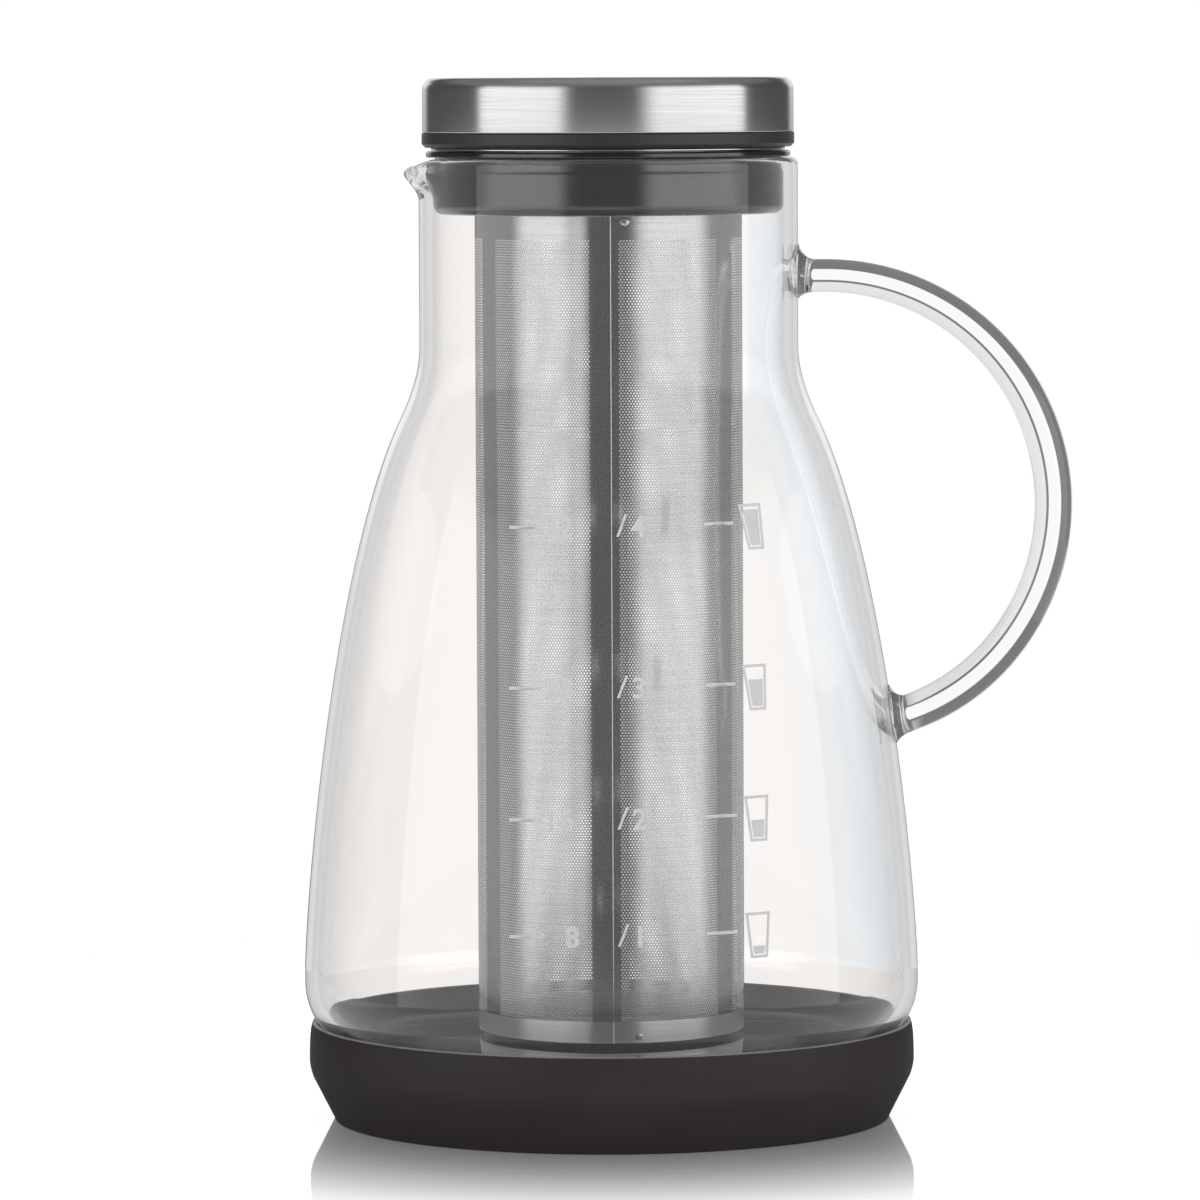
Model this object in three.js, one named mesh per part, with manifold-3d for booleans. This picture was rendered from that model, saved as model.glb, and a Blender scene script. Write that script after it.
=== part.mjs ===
// Cold brew coffee pitcher: a glass carafe in a silicone boot, with a steel filter hung in its neck
// and a plug-in lid on the filter. Millimetres, +Z up. The origin is the centre of the boot's
// underside. The handle points to +X and the pouring lip to -X.
import * as THREE from "three";
import { mergeVertices } from "three/addons/utils/BufferGeometryUtils.js";
import Module from "manifold-3d";

const wasm = await Module();
wasm.setup();

// Clearances
const SEAT_GAP = 0.3;             // round a piece that is pressed into another
const STACK_GAP = 0.2;            // between flat faces that lie on each other
const WELD_GAP = 0.1;             // between the welded steel sheets of the filter

// Silicone boot
const BOOT_FLOOR = 12.6;          // silicone under the glass
const BOOT_HEIGHT = 19.6;         // table to the top of the lip
const BOOT_LIP_WALL = 0.7;        // thickness of the lip's top edge
const BOOT_LIP_DEPTH = 2;         // height of the drawn-in lip
const BOOT_BULGE = 0.5;           // how far the side swells past the lip
const BOOT_BULGE_HEIGHT = 12;     // table to the widest ring
const BOOT_TAPER = 4.4;           // how far the foot is drawn in from the lip

// Glass carafe
const CARAFE_HEIGHT = 178.9;      // glass underside to the rim
const GLASS_WALL = 2.6;
const BODY_RADIUS = 61.4;         // widest ring, outside
const HEEL_RADIUS = 14.7;         // round corner between the side and the floor
const NECK_RADIUS = 37.7;         // straight neck, outside
const NECK_LENGTH = 37.2;         // rim to the start of the shoulder
const SHOULDER_HEIGHT = 14.6;     // hollow curve under the neck
const SHOULDER_SWELL = 3.9;       // how far that curve widens the glass
const SHOULDER_LEAN = 25.8;       // lean of the side under the shoulder, degrees from upright
const SIDE_PULL_HIGH = 28.7;      // reach of the side's tangent at the shoulder
const SIDE_PULL_LOW = 14.4;       // reach of the side's tangent at the widest ring

// Pouring lip
const LIP_REACH = 2.8;            // how far the tip stands out of the neck
const LIP_HEIGHT = 9.5;           // length of neck that is drawn out
const LIP_DROP = 1.8;             // how far the tip lies under the rim
const LIP_HALF_ANGLE = 27;        // degrees from the tip to the plain rim

// Handle, a bent glass rod whose flared ends are fused to the carafe
const HANDLE_ROD_RADIUS = 3.6;
const HANDLE_BEND = 45.6;         // centre line radius
const HANDLE_TAIL_BEND = 42;      // centre line radius of the lowest stretch
const HANDLE_TAIL_TURN = 128;     // degrees that the rod turns above that stretch
const HANDLE_RUN = 5.3;           // straight stretch between the neck and the bend
const HANDLE_DROP = 23.8;         // rim to the straight stretch
const FLARE_RADIUS = 5.4;         // flared end at the glass
const FLARE_LENGTH = 3.4;         // flared end along the rod

// Silicone seal in the neck
const SEAL_FLANGE = 1.2;          // flange thickness
const SEAL_FLANGE_INSET = 1.5;    // flange edge inside the neck's outside
const SEAL_DEPTH = 11.2;          // plug under the flange
const SEAL_CORNER = 2;            // rounded lower corner
const SEAL_WALL = 7.8;            // ring between the filter and the neck

// Steel filter
const FILTER_SHEET = 0.5;
const FILTER_BOTTOM_GAP = 0.8;    // filter's underside to the glass floor
const RIM_INSET = 1;              // steel rim inside the seal's flange
const RIM_SLEEVE = 15;            // sleeve welded inside the tube's top
const CUP_WALL = 5;               // cup welded inside the tube's bottom
const CUP_PROUD = 0.6;            // cup's face below the tube's end
const CUP_CORNER = 1;

// Lid: steel cap on a plastic core with a gasket
const CAP_INSET = 0.8;            // cap's side inside the neck's outside
const CAP_HEIGHT = 10.8;
const CAP_SHEET = 0.6;
const CAP_CORNER = 2.2;
const COLLAR_HEIGHT = 2.6;
const COLLAR_PROUD = 0.15;        // collar outside the cap
const COLLAR_CHAMFER = 0.7;
const CORE_WALL = 2;
const CORE_RING_HEIGHT = 8;       // ring of the core inside the cap
const PLUG_DEPTH = 10;            // core inside the filter's mouth
const PLUG_PLAY = 1;              // play between the plug and the sleeve
const GASKET_HEIGHT = 2.4;
const GASKET_GROOVE = 1.2;        // groove depth in the plug
const GASKET_DROP = 4.5;          // collar's underside to the gasket's top

// Facets
const SEGMENTS = 48;              // round the pitcher's axis
const ARC_STEPS = 3;              // along a short round
const CURVE_STEPS = 5;            // along a long curve
const LIP_STEPS = 4;              // up the drawn-out length of neck
const ROD_SIDES = 12;
const ROD_STEPS = 32;
const TRACE_STEPS = 120;          // along a curve that is only measured

// Heights that follow from the sizes above
const glassFoot = BOOT_FLOOR + SEAT_GAP;
const glassFloor = glassFoot + GLASS_WALL;
const widestZ = glassFoot + HEEL_RADIUS;
const rimZ = glassFoot + CARAFE_HEIGHT;
const neckFootZ = rimZ - NECK_LENGTH;
const shoulderFootZ = neckFootZ - SHOULDER_HEIGHT;
const sealFlangeZ = rimZ + STACK_GAP;
const filterRimZ = sealFlangeZ + SEAL_FLANGE + STACK_GAP;
const collarZ = filterRimZ + FILTER_SHEET + STACK_GAP;
const capZ = collarZ + COLLAR_HEIGHT + STACK_GAP;
const filterFootZ = glassFloor + FILTER_BOTTOM_GAP;

// Radii that follow from the sizes above
const neckBore = NECK_RADIUS - GLASS_WALL;
const sealPlugRadius = neckBore - SEAT_GAP;
const sealBore = sealPlugRadius - SEAL_WALL;
const sealFlangeRadius = NECK_RADIUS - SEAL_FLANGE_INSET;
const filterRadius = sealBore - SEAT_GAP;
const tubeBore = filterRadius - FILTER_SHEET;
const sleeveRadius = tubeBore - WELD_GAP;
const sleeveBore = sleeveRadius - FILTER_SHEET;
const plugRadius = sleeveBore - PLUG_PLAY;
const grooveRadius = plugRadius - GASKET_GROOVE;
const capRadius = NECK_RADIUS - CAP_INSET;
const coreRingRadius = capRadius - CAP_SHEET - SEAT_GAP;

const HALF_TURN = Math.PI;
const QUARTER_TURN = Math.PI / 2;

const glass = new THREE.MeshStandardMaterial({ color: 0xe3e9ea, roughness: 0.05, metalness: 0 });
const silicone = new THREE.MeshStandardMaterial({ color: 0x2f2c2b, roughness: 0.75, metalness: 0 });
const plastic = new THREE.MeshStandardMaterial({ color: 0x323232, roughness: 0.5, metalness: 0 });
const steel = new THREE.MeshStandardMaterial({ color: 0xb8babc, roughness: 0.35, metalness: 1 });

// Outline points of a path, without the doubled points where its curves join
function outlinePoints(path, steps) {
  const same = 1e-6;
  return path.getPoints(steps).filter((p, i, all) => i === 0 || p.distanceTo(all[i - 1]) > same);
}

// Points of an outline moved to its right-hand side, which is the outside of the glass
function moveOutline(points, distance) {
  return points.map((point, i) => {
    const before = points[Math.max(i - 1, 0)];
    const after = points[Math.min(i + 1, points.length - 1)];
    const along = after.clone().sub(before).normalize();
    return new THREE.Vector2(point.x + along.y * distance, point.y - along.x * distance);
  });
}

// Solid of revolution about Z from outline points (radius, height) that run anticlockwise
function revolve(points) {
  const geometry = new THREE.LatheGeometry(points, SEGMENTS);
  geometry.rotateX(QUARTER_TURN);
  return geometry;
}

// Ring or shell whose outline closes on itself
function revolveRing(points) {
  return revolve([...points, points[0].clone()]);
}

function toSolid(geometry) {
  const bare = geometry.clone();
  bare.deleteAttribute("normal");
  bare.deleteAttribute("uv");
  const merged = mergeVertices(bare);
  return new wasm.Manifold(new wasm.Mesh({
    numProp: 3,
    vertProperties: new Float32Array(merged.attributes.position.array),
    triVerts: new Uint32Array(merged.index.array),
  }));
}

function toGeometry(solid) {
  const mesh = solid.getMesh();
  const geometry = new THREE.BufferGeometry();
  geometry.setAttribute("position", new THREE.BufferAttribute(mesh.vertProperties, mesh.numProp));
  geometry.setIndex(new THREE.BufferAttribute(mesh.triVerts, 1));
  geometry.computeVertexNormals();
  return geometry;
}

function piece(name, geometry, material) {
  const mesh = new THREE.Mesh(geometry, material);
  mesh.name = name;
  return mesh;
}

// Outside of the glass from the middle of the floor to the foot of the straight neck
function carafeSide(steps) {
  const lean = Math.tan(THREE.MathUtils.degToRad(SHOULDER_LEAN));
  const shoulderRadius = NECK_RADIUS + SHOULDER_SWELL;
  const heelCentre = BODY_RADIUS - HEEL_RADIUS;
  const path = new THREE.Path();
  path.moveTo(0, glassFoot);
  path.lineTo(heelCentre, glassFoot);
  path.absarc(heelCentre, widestZ, HEEL_RADIUS, -QUARTER_TURN, 0, false);
  path.bezierCurveTo(
    BODY_RADIUS, widestZ + SIDE_PULL_LOW,
    shoulderRadius + lean * SIDE_PULL_HIGH, shoulderFootZ - SIDE_PULL_HIGH,
    shoulderRadius, shoulderFootZ,
  );
  path.quadraticCurveTo(NECK_RADIUS, shoulderFootZ + SHOULDER_SWELL / lean, NECK_RADIUS, neckFootZ);
  return outlinePoints(path, steps);
}

// Upright points of the neck that the pouring lip is drawn from
function lipLadder(radius) {
  const lipFootZ = rimZ - LIP_HEIGHT;
  const lipTopZ = rimZ - GLASS_WALL / 2;
  return Array.from({ length: LIP_STEPS + 1 }, (_, i) => (
    new THREE.Vector2(radius, lipFootZ + ((lipTopZ - lipFootZ) * i) / LIP_STEPS)
  ));
}

// Draws the neck's glass out and down into the pouring lip on the -X side
function drawLip(geometry) {
  const position = geometry.attributes.position;
  const halfAngle = THREE.MathUtils.degToRad(LIP_HALF_ANGLE);
  for (let i = 0; i < position.count; i += 1) {
    const x = position.getX(i);
    const y = position.getY(i);
    const z = position.getZ(i);
    const radius = Math.hypot(x, y);
    const angle = Math.abs(Math.atan2(y, -x));
    const rise = (z - rimZ + LIP_HEIGHT) / LIP_HEIGHT;
    if (rise > 0 && radius > 0 && angle < halfAngle) {
      const middle = Math.cos((QUARTER_TURN * angle) / halfAngle) ** 2;
      const share = middle * rise * rise;
      const wider = 1 + (LIP_REACH * share) / radius;
      position.setXYZ(i, x * wider, y * wider, z - LIP_DROP * share);
    }
  }
  return geometry;
}

function makeCarafe() {
  const outside = carafeSide(CURVE_STEPS);
  const inside = moveOutline(outside, -GLASS_WALL).reverse();
  const rim = new THREE.Path();
  rim.absarc(NECK_RADIUS - GLASS_WALL / 2, rimZ - GLASS_WALL / 2, GLASS_WALL / 2, 0, HALF_TURN, false);
  const rimRound = outlinePoints(rim, ARC_STEPS).slice(1, -1);
  const outline = [
    ...outside,
    ...lipLadder(NECK_RADIUS),
    ...rimRound,
    ...lipLadder(neckBore).reverse(),
    ...inside,
  ];
  return drawLip(revolve(outline));
}

// Radius at a height on an outline that climbs from the axis
function radiusAt(points, z) {
  const i = points.findIndex((point) => point.y >= z && point.x > 0);
  const low = points[i - 1];
  const high = points[i];
  return low.x + ((high.x - low.x) * (z - low.y)) / (high.y - low.y);
}

function makeBoot() {
  const seat = moveOutline(carafeSide(CURVE_STEPS), SEAT_GAP);
  const seatRadius = radiusAt(seat, BOOT_HEIGHT);
  const lipRadius = seatRadius + BOOT_LIP_WALL;
  const bulgeRadius = lipRadius + BOOT_BULGE;
  const footRadius = lipRadius - BOOT_TAPER;
  const path = new THREE.Path();
  path.moveTo(0, 0);
  path.lineTo(footRadius, 0);
  path.quadraticCurveTo(bulgeRadius, BOOT_BULGE_HEIGHT / 2, bulgeRadius, BOOT_BULGE_HEIGHT);
  path.lineTo(bulgeRadius, BOOT_HEIGHT - BOOT_LIP_DEPTH);
  path.lineTo(lipRadius, BOOT_HEIGHT);
  path.lineTo(seatRadius, BOOT_HEIGHT);
  const cavity = seat.filter((point) => point.y < BOOT_HEIGHT - STACK_GAP && point.x < seatRadius);
  return revolve([...outlinePoints(path, ARC_STEPS), ...cavity.reverse()]);
}

// Point of the handle's bend at a turn from level, on an arc about a centre
function bendPoint(centre, radius, turn, target) {
  const angle = QUARTER_TURN - turn;
  return target.set(centre.x + radius * Math.cos(angle), 0, centre.y + radius * Math.sin(angle));
}

// Centre line of the handle: a straight stretch at the neck, the bend, and a tighter tail
class HandleLine extends THREE.Curve {
  constructor() {
    super();
    this.tailTurn = THREE.MathUtils.degToRad(HANDLE_TAIL_TURN);
    this.centre = new THREE.Vector2(NECK_RADIUS + HANDLE_RUN, rimZ - HANDLE_DROP - HANDLE_BEND);
    const inward = HANDLE_BEND - HANDLE_TAIL_BEND;
    const towards = QUARTER_TURN - this.tailTurn;
    this.tailCentre = new THREE.Vector2(Math.cos(towards), Math.sin(towards));
    this.tailCentre.multiplyScalar(inward).add(this.centre);
    this.endTurn = HALF_TURN;
  }

  // Total length, up to the turn at which the line ends
  get total() {
    const tail = Math.max(this.endTurn - this.tailTurn, 0);
    return HANDLE_RUN + HANDLE_BEND * (this.endTurn - tail) + HANDLE_TAIL_BEND * tail;
  }

  turnedPoint(turn, target = new THREE.Vector3()) {
    if (turn < this.tailTurn) {
      return bendPoint(this.centre, HANDLE_BEND, turn, target);
    }
    return bendPoint(this.tailCentre, HANDLE_TAIL_BEND, turn, target);
  }

  getPoint(t, target = new THREE.Vector3()) {
    const past = t * this.total - HANDLE_RUN;
    if (past < 0) {
      return target.set(this.centre.x + past, 0, this.centre.y + HANDLE_BEND);
    }
    const bendLength = HANDLE_BEND * this.tailTurn;
    const tail = Math.max(past - bendLength, 0);
    return this.turnedPoint((past - tail) / HANDLE_BEND + tail / HANDLE_TAIL_BEND, target);
  }
}

// Turn of the rod, from level, at which its centre line reaches the carafe's side
function landingTurn(line, side) {
  let turn = QUARTER_TURN;
  const step = QUARTER_TURN / TRACE_STEPS;
  while (turn < HALF_TURN) {
    const point = line.turnedPoint(turn);
    if (point.x <= radiusAt(side, point.z)) {
      return turn;
    }
    turn += step;
  }
  return turn;
}

// Flared end of the rod, from inside the glass out along the rod
function flaredEnd(foot, direction) {
  const path = new THREE.Path();
  path.moveTo(0, -FLARE_LENGTH);
  path.lineTo(FLARE_RADIUS, -FLARE_LENGTH);
  path.lineTo(FLARE_RADIUS, 0);
  path.quadraticCurveTo(HANDLE_ROD_RADIUS, 0, HANDLE_ROD_RADIUS, FLARE_LENGTH);
  path.lineTo(0, FLARE_LENGTH);
  const geometry = new THREE.LatheGeometry(outlinePoints(path, ARC_STEPS), ROD_SIDES);
  const upright = new THREE.Vector3(0, 1, 0);
  geometry.applyQuaternion(new THREE.Quaternion().setFromUnitVectors(upright, direction));
  geometry.translate(foot.x, foot.y, foot.z);
  return geometry;
}

function makeHandle() {
  const side = carafeSide(TRACE_STEPS);
  const line = new HandleLine();
  line.endTurn = landingTurn(line, side);
  const section = new THREE.Shape().absarc(0, 0, HANDLE_ROD_RADIUS, 0, 2 * HALF_TURN, false);
  const rod = new THREE.ExtrudeGeometry(section, {
    extrudePath: line,
    steps: ROD_STEPS,
    curveSegments: ROD_SIDES / 2,
  });
  const upper = flaredEnd(line.getPoint(0), new THREE.Vector3(1, 0, 0));
  const lower = flaredEnd(line.getPoint(1), line.getTangent(1).negate());
  const neckTop = new THREE.Vector2(NECK_RADIUS + SEAT_GAP, rimZ);
  const clear = [...moveOutline(side, SEAT_GAP), neckTop, new THREE.Vector2(0, rimZ)];
  const joined = toSolid(rod).add(toSolid(upper)).add(toSolid(lower));
  return toGeometry(joined.subtract(toSolid(revolve(clear))));
}

function makeSeal() {
  const footZ = sealFlangeZ - SEAL_DEPTH;
  const topZ = sealFlangeZ + SEAL_FLANGE;
  const path = new THREE.Path();
  path.moveTo(sealBore, footZ);
  path.lineTo(sealPlugRadius - SEAL_CORNER, footZ);
  path.absarc(sealPlugRadius - SEAL_CORNER, footZ + SEAL_CORNER, SEAL_CORNER, -QUARTER_TURN, 0, false);
  path.lineTo(sealPlugRadius, sealFlangeZ);
  path.lineTo(sealFlangeRadius, sealFlangeZ);
  path.lineTo(sealFlangeRadius, topZ);
  path.lineTo(sealBore, topZ);
  return revolveRing(outlinePoints(path, ARC_STEPS));
}

function makeFilterTube() {
  const footZ = filterFootZ + CUP_PROUD;
  const topZ = filterRimZ - WELD_GAP;
  return revolveRing([
    new THREE.Vector2(tubeBore, footZ),
    new THREE.Vector2(filterRadius, footZ),
    new THREE.Vector2(filterRadius, topZ),
    new THREE.Vector2(tubeBore, topZ),
  ]);
}

function makeFilterRim() {
  const flangeRadius = sealFlangeRadius - RIM_INSET;
  const topZ = filterRimZ + FILTER_SHEET;
  const footZ = filterRimZ - RIM_SLEEVE;
  return revolveRing([
    new THREE.Vector2(sleeveBore, footZ),
    new THREE.Vector2(sleeveRadius, footZ),
    new THREE.Vector2(sleeveRadius, filterRimZ),
    new THREE.Vector2(flangeRadius, filterRimZ),
    new THREE.Vector2(flangeRadius, topZ),
    new THREE.Vector2(sleeveBore, topZ),
  ]);
}

function makeFilterCup() {
  const wallTopZ = filterFootZ + CUP_WALL;
  const bore = sleeveRadius - FILTER_SHEET;
  const centre = sleeveRadius - CUP_CORNER;
  const path = new THREE.Path();
  path.moveTo(0, filterFootZ);
  path.lineTo(centre, filterFootZ);
  path.absarc(centre, filterFootZ + CUP_CORNER, CUP_CORNER, -QUARTER_TURN, 0, false);
  path.lineTo(sleeveRadius, wallTopZ);
  path.lineTo(bore, wallTopZ);
  path.lineTo(bore, filterFootZ + CUP_CORNER);
  path.lineTo(centre, filterFootZ + FILTER_SHEET);
  path.lineTo(0, filterFootZ + FILTER_SHEET);
  return revolve(outlinePoints(path, ARC_STEPS));
}

function makeLidCap() {
  const topZ = capZ + CAP_HEIGHT;
  const bore = capRadius - CAP_SHEET;
  const roundCentre = capRadius - CAP_CORNER;
  const roundZ = topZ - CAP_CORNER;
  const path = new THREE.Path();
  path.moveTo(0, topZ - CAP_SHEET);
  path.lineTo(roundCentre, topZ - CAP_SHEET);
  path.absarc(roundCentre, roundZ, CAP_CORNER - CAP_SHEET, QUARTER_TURN, 0, true);
  path.lineTo(bore, capZ);
  path.lineTo(capRadius, capZ);
  path.lineTo(capRadius, roundZ);
  path.absarc(roundCentre, roundZ, CAP_CORNER, 0, QUARTER_TURN, false);
  path.lineTo(0, topZ);
  return revolve(outlinePoints(path, ARC_STEPS));
}

function makeLidCore() {
  const collarRadius = capRadius + COLLAR_PROUD;
  const collarTopZ = collarZ + COLLAR_HEIGHT;
  const ringTopZ = collarTopZ + CORE_RING_HEIGHT;
  const ringBore = coreRingRadius - CORE_WALL;
  const plugBore = grooveRadius - CORE_WALL;
  const plugFootZ = collarZ - PLUG_DEPTH;
  const grooveTopZ = collarZ - GASKET_DROP + STACK_GAP;
  const grooveFootZ = grooveTopZ - GASKET_HEIGHT - 2 * STACK_GAP;
  return revolve([
    new THREE.Vector2(0, plugFootZ),
    new THREE.Vector2(plugRadius, plugFootZ),
    new THREE.Vector2(plugRadius, grooveFootZ),
    new THREE.Vector2(grooveRadius, grooveFootZ),
    new THREE.Vector2(grooveRadius, grooveTopZ),
    new THREE.Vector2(plugRadius, grooveTopZ),
    new THREE.Vector2(plugRadius, collarZ),
    new THREE.Vector2(collarRadius - COLLAR_CHAMFER, collarZ),
    new THREE.Vector2(collarRadius, collarZ + COLLAR_CHAMFER),
    new THREE.Vector2(collarRadius, collarTopZ),
    new THREE.Vector2(coreRingRadius, collarTopZ),
    new THREE.Vector2(coreRingRadius, ringTopZ),
    new THREE.Vector2(ringBore, ringTopZ),
    new THREE.Vector2(ringBore, collarTopZ),
    new THREE.Vector2(plugBore, collarTopZ),
    new THREE.Vector2(plugBore, plugFootZ + CORE_WALL),
    new THREE.Vector2(0, plugFootZ + CORE_WALL),
  ]);
}

function makeLidGasket() {
  const inner = grooveRadius + STACK_GAP;
  const outer = sleeveBore - SEAT_GAP;
  const round = GASKET_HEIGHT / 2;
  const middleZ = collarZ - GASKET_DROP - round;
  const path = new THREE.Path();
  path.moveTo(inner, middleZ - round);
  path.absarc(outer - round, middleZ, round, -QUARTER_TURN, QUARTER_TURN, false);
  path.lineTo(inner, middleZ + round);
  return revolveRing(outlinePoints(path, ARC_STEPS));
}

const base = new THREE.Group();
base.add(piece("base_boot", makeBoot(), silicone));

const carafe = new THREE.Group();
carafe.add(piece("carafe_body", makeCarafe(), glass));
carafe.add(piece("handle", makeHandle(), glass));

const seal = new THREE.Group();
seal.add(piece("neck_seal", makeSeal(), silicone));

const filter = new THREE.Group();
filter.add(piece("filter_tube", makeFilterTube(), steel));
filter.add(piece("filter_rim", makeFilterRim(), steel));
filter.add(piece("filter_base_cup", makeFilterCup(), steel));

const lid = new THREE.Group();
lid.add(piece("lid_cap", makeLidCap(), steel));
lid.add(piece("lid_core", makeLidCore(), plastic));
lid.add(piece("lid_gasket", makeLidGasket(), silicone));

const pitcher = new THREE.Group();
pitcher.add(base, carafe, seal, filter, lid);

export default pitcher;
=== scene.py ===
"""Cold brew coffee pitcher, laid out as a Blender add-on and run as a script.

A glass carafe with a fused handle stands in a silicone boot. A perforated steel filter hangs in
the neck on a silicone seal, and a lid with a brushed steel cap closes the filter. Lengths are in
metres, +Z is up, the handle points to +X and the printed scale faces -Y.
"""
import math

import bpy
from bpy.props import FloatProperty, FloatVectorProperty, PointerProperty
from mathutils import Matrix, Quaternion, Vector


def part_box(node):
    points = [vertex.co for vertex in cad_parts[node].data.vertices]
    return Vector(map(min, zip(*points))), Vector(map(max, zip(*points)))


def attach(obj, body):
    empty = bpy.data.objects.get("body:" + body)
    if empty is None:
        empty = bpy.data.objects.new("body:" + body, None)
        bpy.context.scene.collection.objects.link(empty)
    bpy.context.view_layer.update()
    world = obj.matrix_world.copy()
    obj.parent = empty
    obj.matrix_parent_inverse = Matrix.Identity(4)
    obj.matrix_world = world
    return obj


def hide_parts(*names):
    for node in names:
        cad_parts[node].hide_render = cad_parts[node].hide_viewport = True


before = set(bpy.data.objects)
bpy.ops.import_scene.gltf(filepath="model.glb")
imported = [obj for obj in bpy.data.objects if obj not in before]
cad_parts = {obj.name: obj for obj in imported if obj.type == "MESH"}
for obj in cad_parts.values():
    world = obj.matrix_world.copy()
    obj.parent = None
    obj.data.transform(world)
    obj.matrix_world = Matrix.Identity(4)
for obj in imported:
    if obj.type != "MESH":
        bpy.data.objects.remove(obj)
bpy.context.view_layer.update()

bl_info = {
    "name": "Cold brew pitcher",
    "version": (1, 0, 0),
    "blender": (4, 5, 0),
    "location": "View3D > Sidebar > Pitcher",
    "description": "Builds a glass cold brew pitcher piece by piece on its CAD frame",
    "category": "Object",
}

MM = 0.001
TINY = 1e-9
SIDES = 240                 # facets round the pitcher's axis
ROD_SIDES = 56              # facets round the handle
CURVE_STEPS = 28            # points along one stretch of the glass outline
CORNER_STEPS = 6            # points along a rounded corner
SHEET_STEPS = 420           # points round the filter's sheet
GRIP_RINGS = 3              # rings under the boot
SHARP_ANGLE = math.radians(38)
QUARTER = math.pi / 2
WHITE = (1.0, 1.0, 1.0)
TOP_WELDS = (6.8, 126, -114)        # degrees right of the front line
FOOT_WELDS = (11.5, 131.5, -108.5)  # degrees right of the front line


def floor_of(node):
    """Lowest height of a CAD node."""
    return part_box(node)[0].z


def top_of(node):
    """Highest height of a CAD node."""
    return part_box(node)[1].z


def radius_of(node):
    """Outside radius of a round CAD node."""
    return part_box(node)[1].y


# Properties
def length(name, description, default):
    """A length property; the default is in metres."""
    return FloatProperty(name=name, description=description, default=default, min=0.0,
                         precision=5, unit="LENGTH", subtype="DISTANCE")


def turn(name, description, degrees):
    """An angle property; the default is in degrees."""
    return FloatProperty(name=name, description=description, default=math.radians(degrees),
                         unit="ROTATION", subtype="ANGLE")


def share(name, description, default):
    """A property between nothing and all."""
    return FloatProperty(name=name, description=description, default=default, min=0.0, max=1.0,
                         subtype="FACTOR")


def level(name, description, default):
    """A light level, where 1 is white."""
    return FloatProperty(name=name, description=description, default=default, min=0.0,
                         subtype="UNSIGNED")


def linear(channel):
    """Scene linear value of an 8 bit display value."""
    value = channel / 255
    return value / 12.92 if value <= 0.04045 else ((value + 0.055) / 1.055) ** 2.4


def colour(name, description, *display):
    """A colour property; the default is given as 8 bit display values."""
    return FloatVectorProperty(name=name, description=description, size=3, min=0.0, max=1.0,
                               default=[linear(channel) for channel in display], subtype="COLOR")


class CarafeSizes(bpy.types.PropertyGroup):
    """Sizes of the glass."""

    foot: length("Foot", "Height of the glass underside", floor_of("carafe_body"))
    rim: length("Rim", "Height of the glass rim", top_of("carafe_body"))
    body_radius: length("Body radius", "Widest ring, outside", radius_of("carafe_body"))
    wall: length("Wall", "Thickness of the glass", 2.6 * MM)
    heel: length("Heel", "Round corner between the side and the floor", 14.7 * MM)
    neck_radius: length("Neck radius", "Straight neck, outside", 37.7 * MM)
    neck_length: length("Neck length", "Rim to the start of the shoulder", 37.2 * MM)
    shoulder: length("Shoulder", "Height of the hollow curve under the neck", 14.6 * MM)
    swell: length("Swell", "How far that curve widens the glass", 3.9 * MM)
    lean: turn("Lean", "Lean of the side under the shoulder", 25.8)
    pull_high: length("Upper pull", "Tangent of the side at the shoulder", 28.7 * MM)
    pull_low: length("Lower pull", "Tangent of the side at the widest ring", 14.4 * MM)
    lip_reach: length("Lip reach", "How far the pouring lip stands out", 2.8 * MM)
    lip_height: length("Lip height", "Length of neck that is drawn out", 8.2 * MM)
    lip_drop: length("Lip drop", "How far the lip's tip lies under the rim", 1.8 * MM)
    lip_full: share("Lip, full", "Part of the lip's height over which it reaches out", 0.74)
    lip_angle: turn("Lip angle", "From the lip's tip to the plain rim", 27)
    lip_ripple: length("Lip ripple", "Unevenness of the drawn lip's outside", 0.16 * MM)


class HandleSizes(bpy.types.PropertyGroup):
    """Sizes of the glass handle."""

    rod: length("Rod", "Radius of the glass rod", 3.72 * MM)
    bend: length("Bend", "Radius of the bend's centre line", 45.6 * MM)
    tail_bend: length("Tail bend", "Radius of the centre line in the lowest stretch", 42 * MM)
    tail_turn: turn("Tail turn", "How far the rod turns above that stretch", 128)
    run: length("Run", "Straight stretch between the neck and the bend", 5.3 * MM)
    drop: length("Drop", "Rim to the straight stretch", 23.6 * MM)
    flare: length("Flare", "Spread of the fused end past the rod", 3.2 * MM)
    flare_length: length("Flare length", "Fused end along the rod", 3.4 * MM)
    flare_lean: share("Flare lean", "How much wider the fused end is on top", 0.4)
    blend: length("Blend", "Stretch over which the rod's end takes the shape of the glass", 8.5 * MM)
    thinning: length("Thinning", "How much the rod narrows at its upper end", 0.45 * MM)
    thin_length: length("Thin length", "Stretch of rod that narrows", 75 * MM)
    sink: length("Sink", "How deep the rod's ends lie in the wall", 1.2 * MM)


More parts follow.
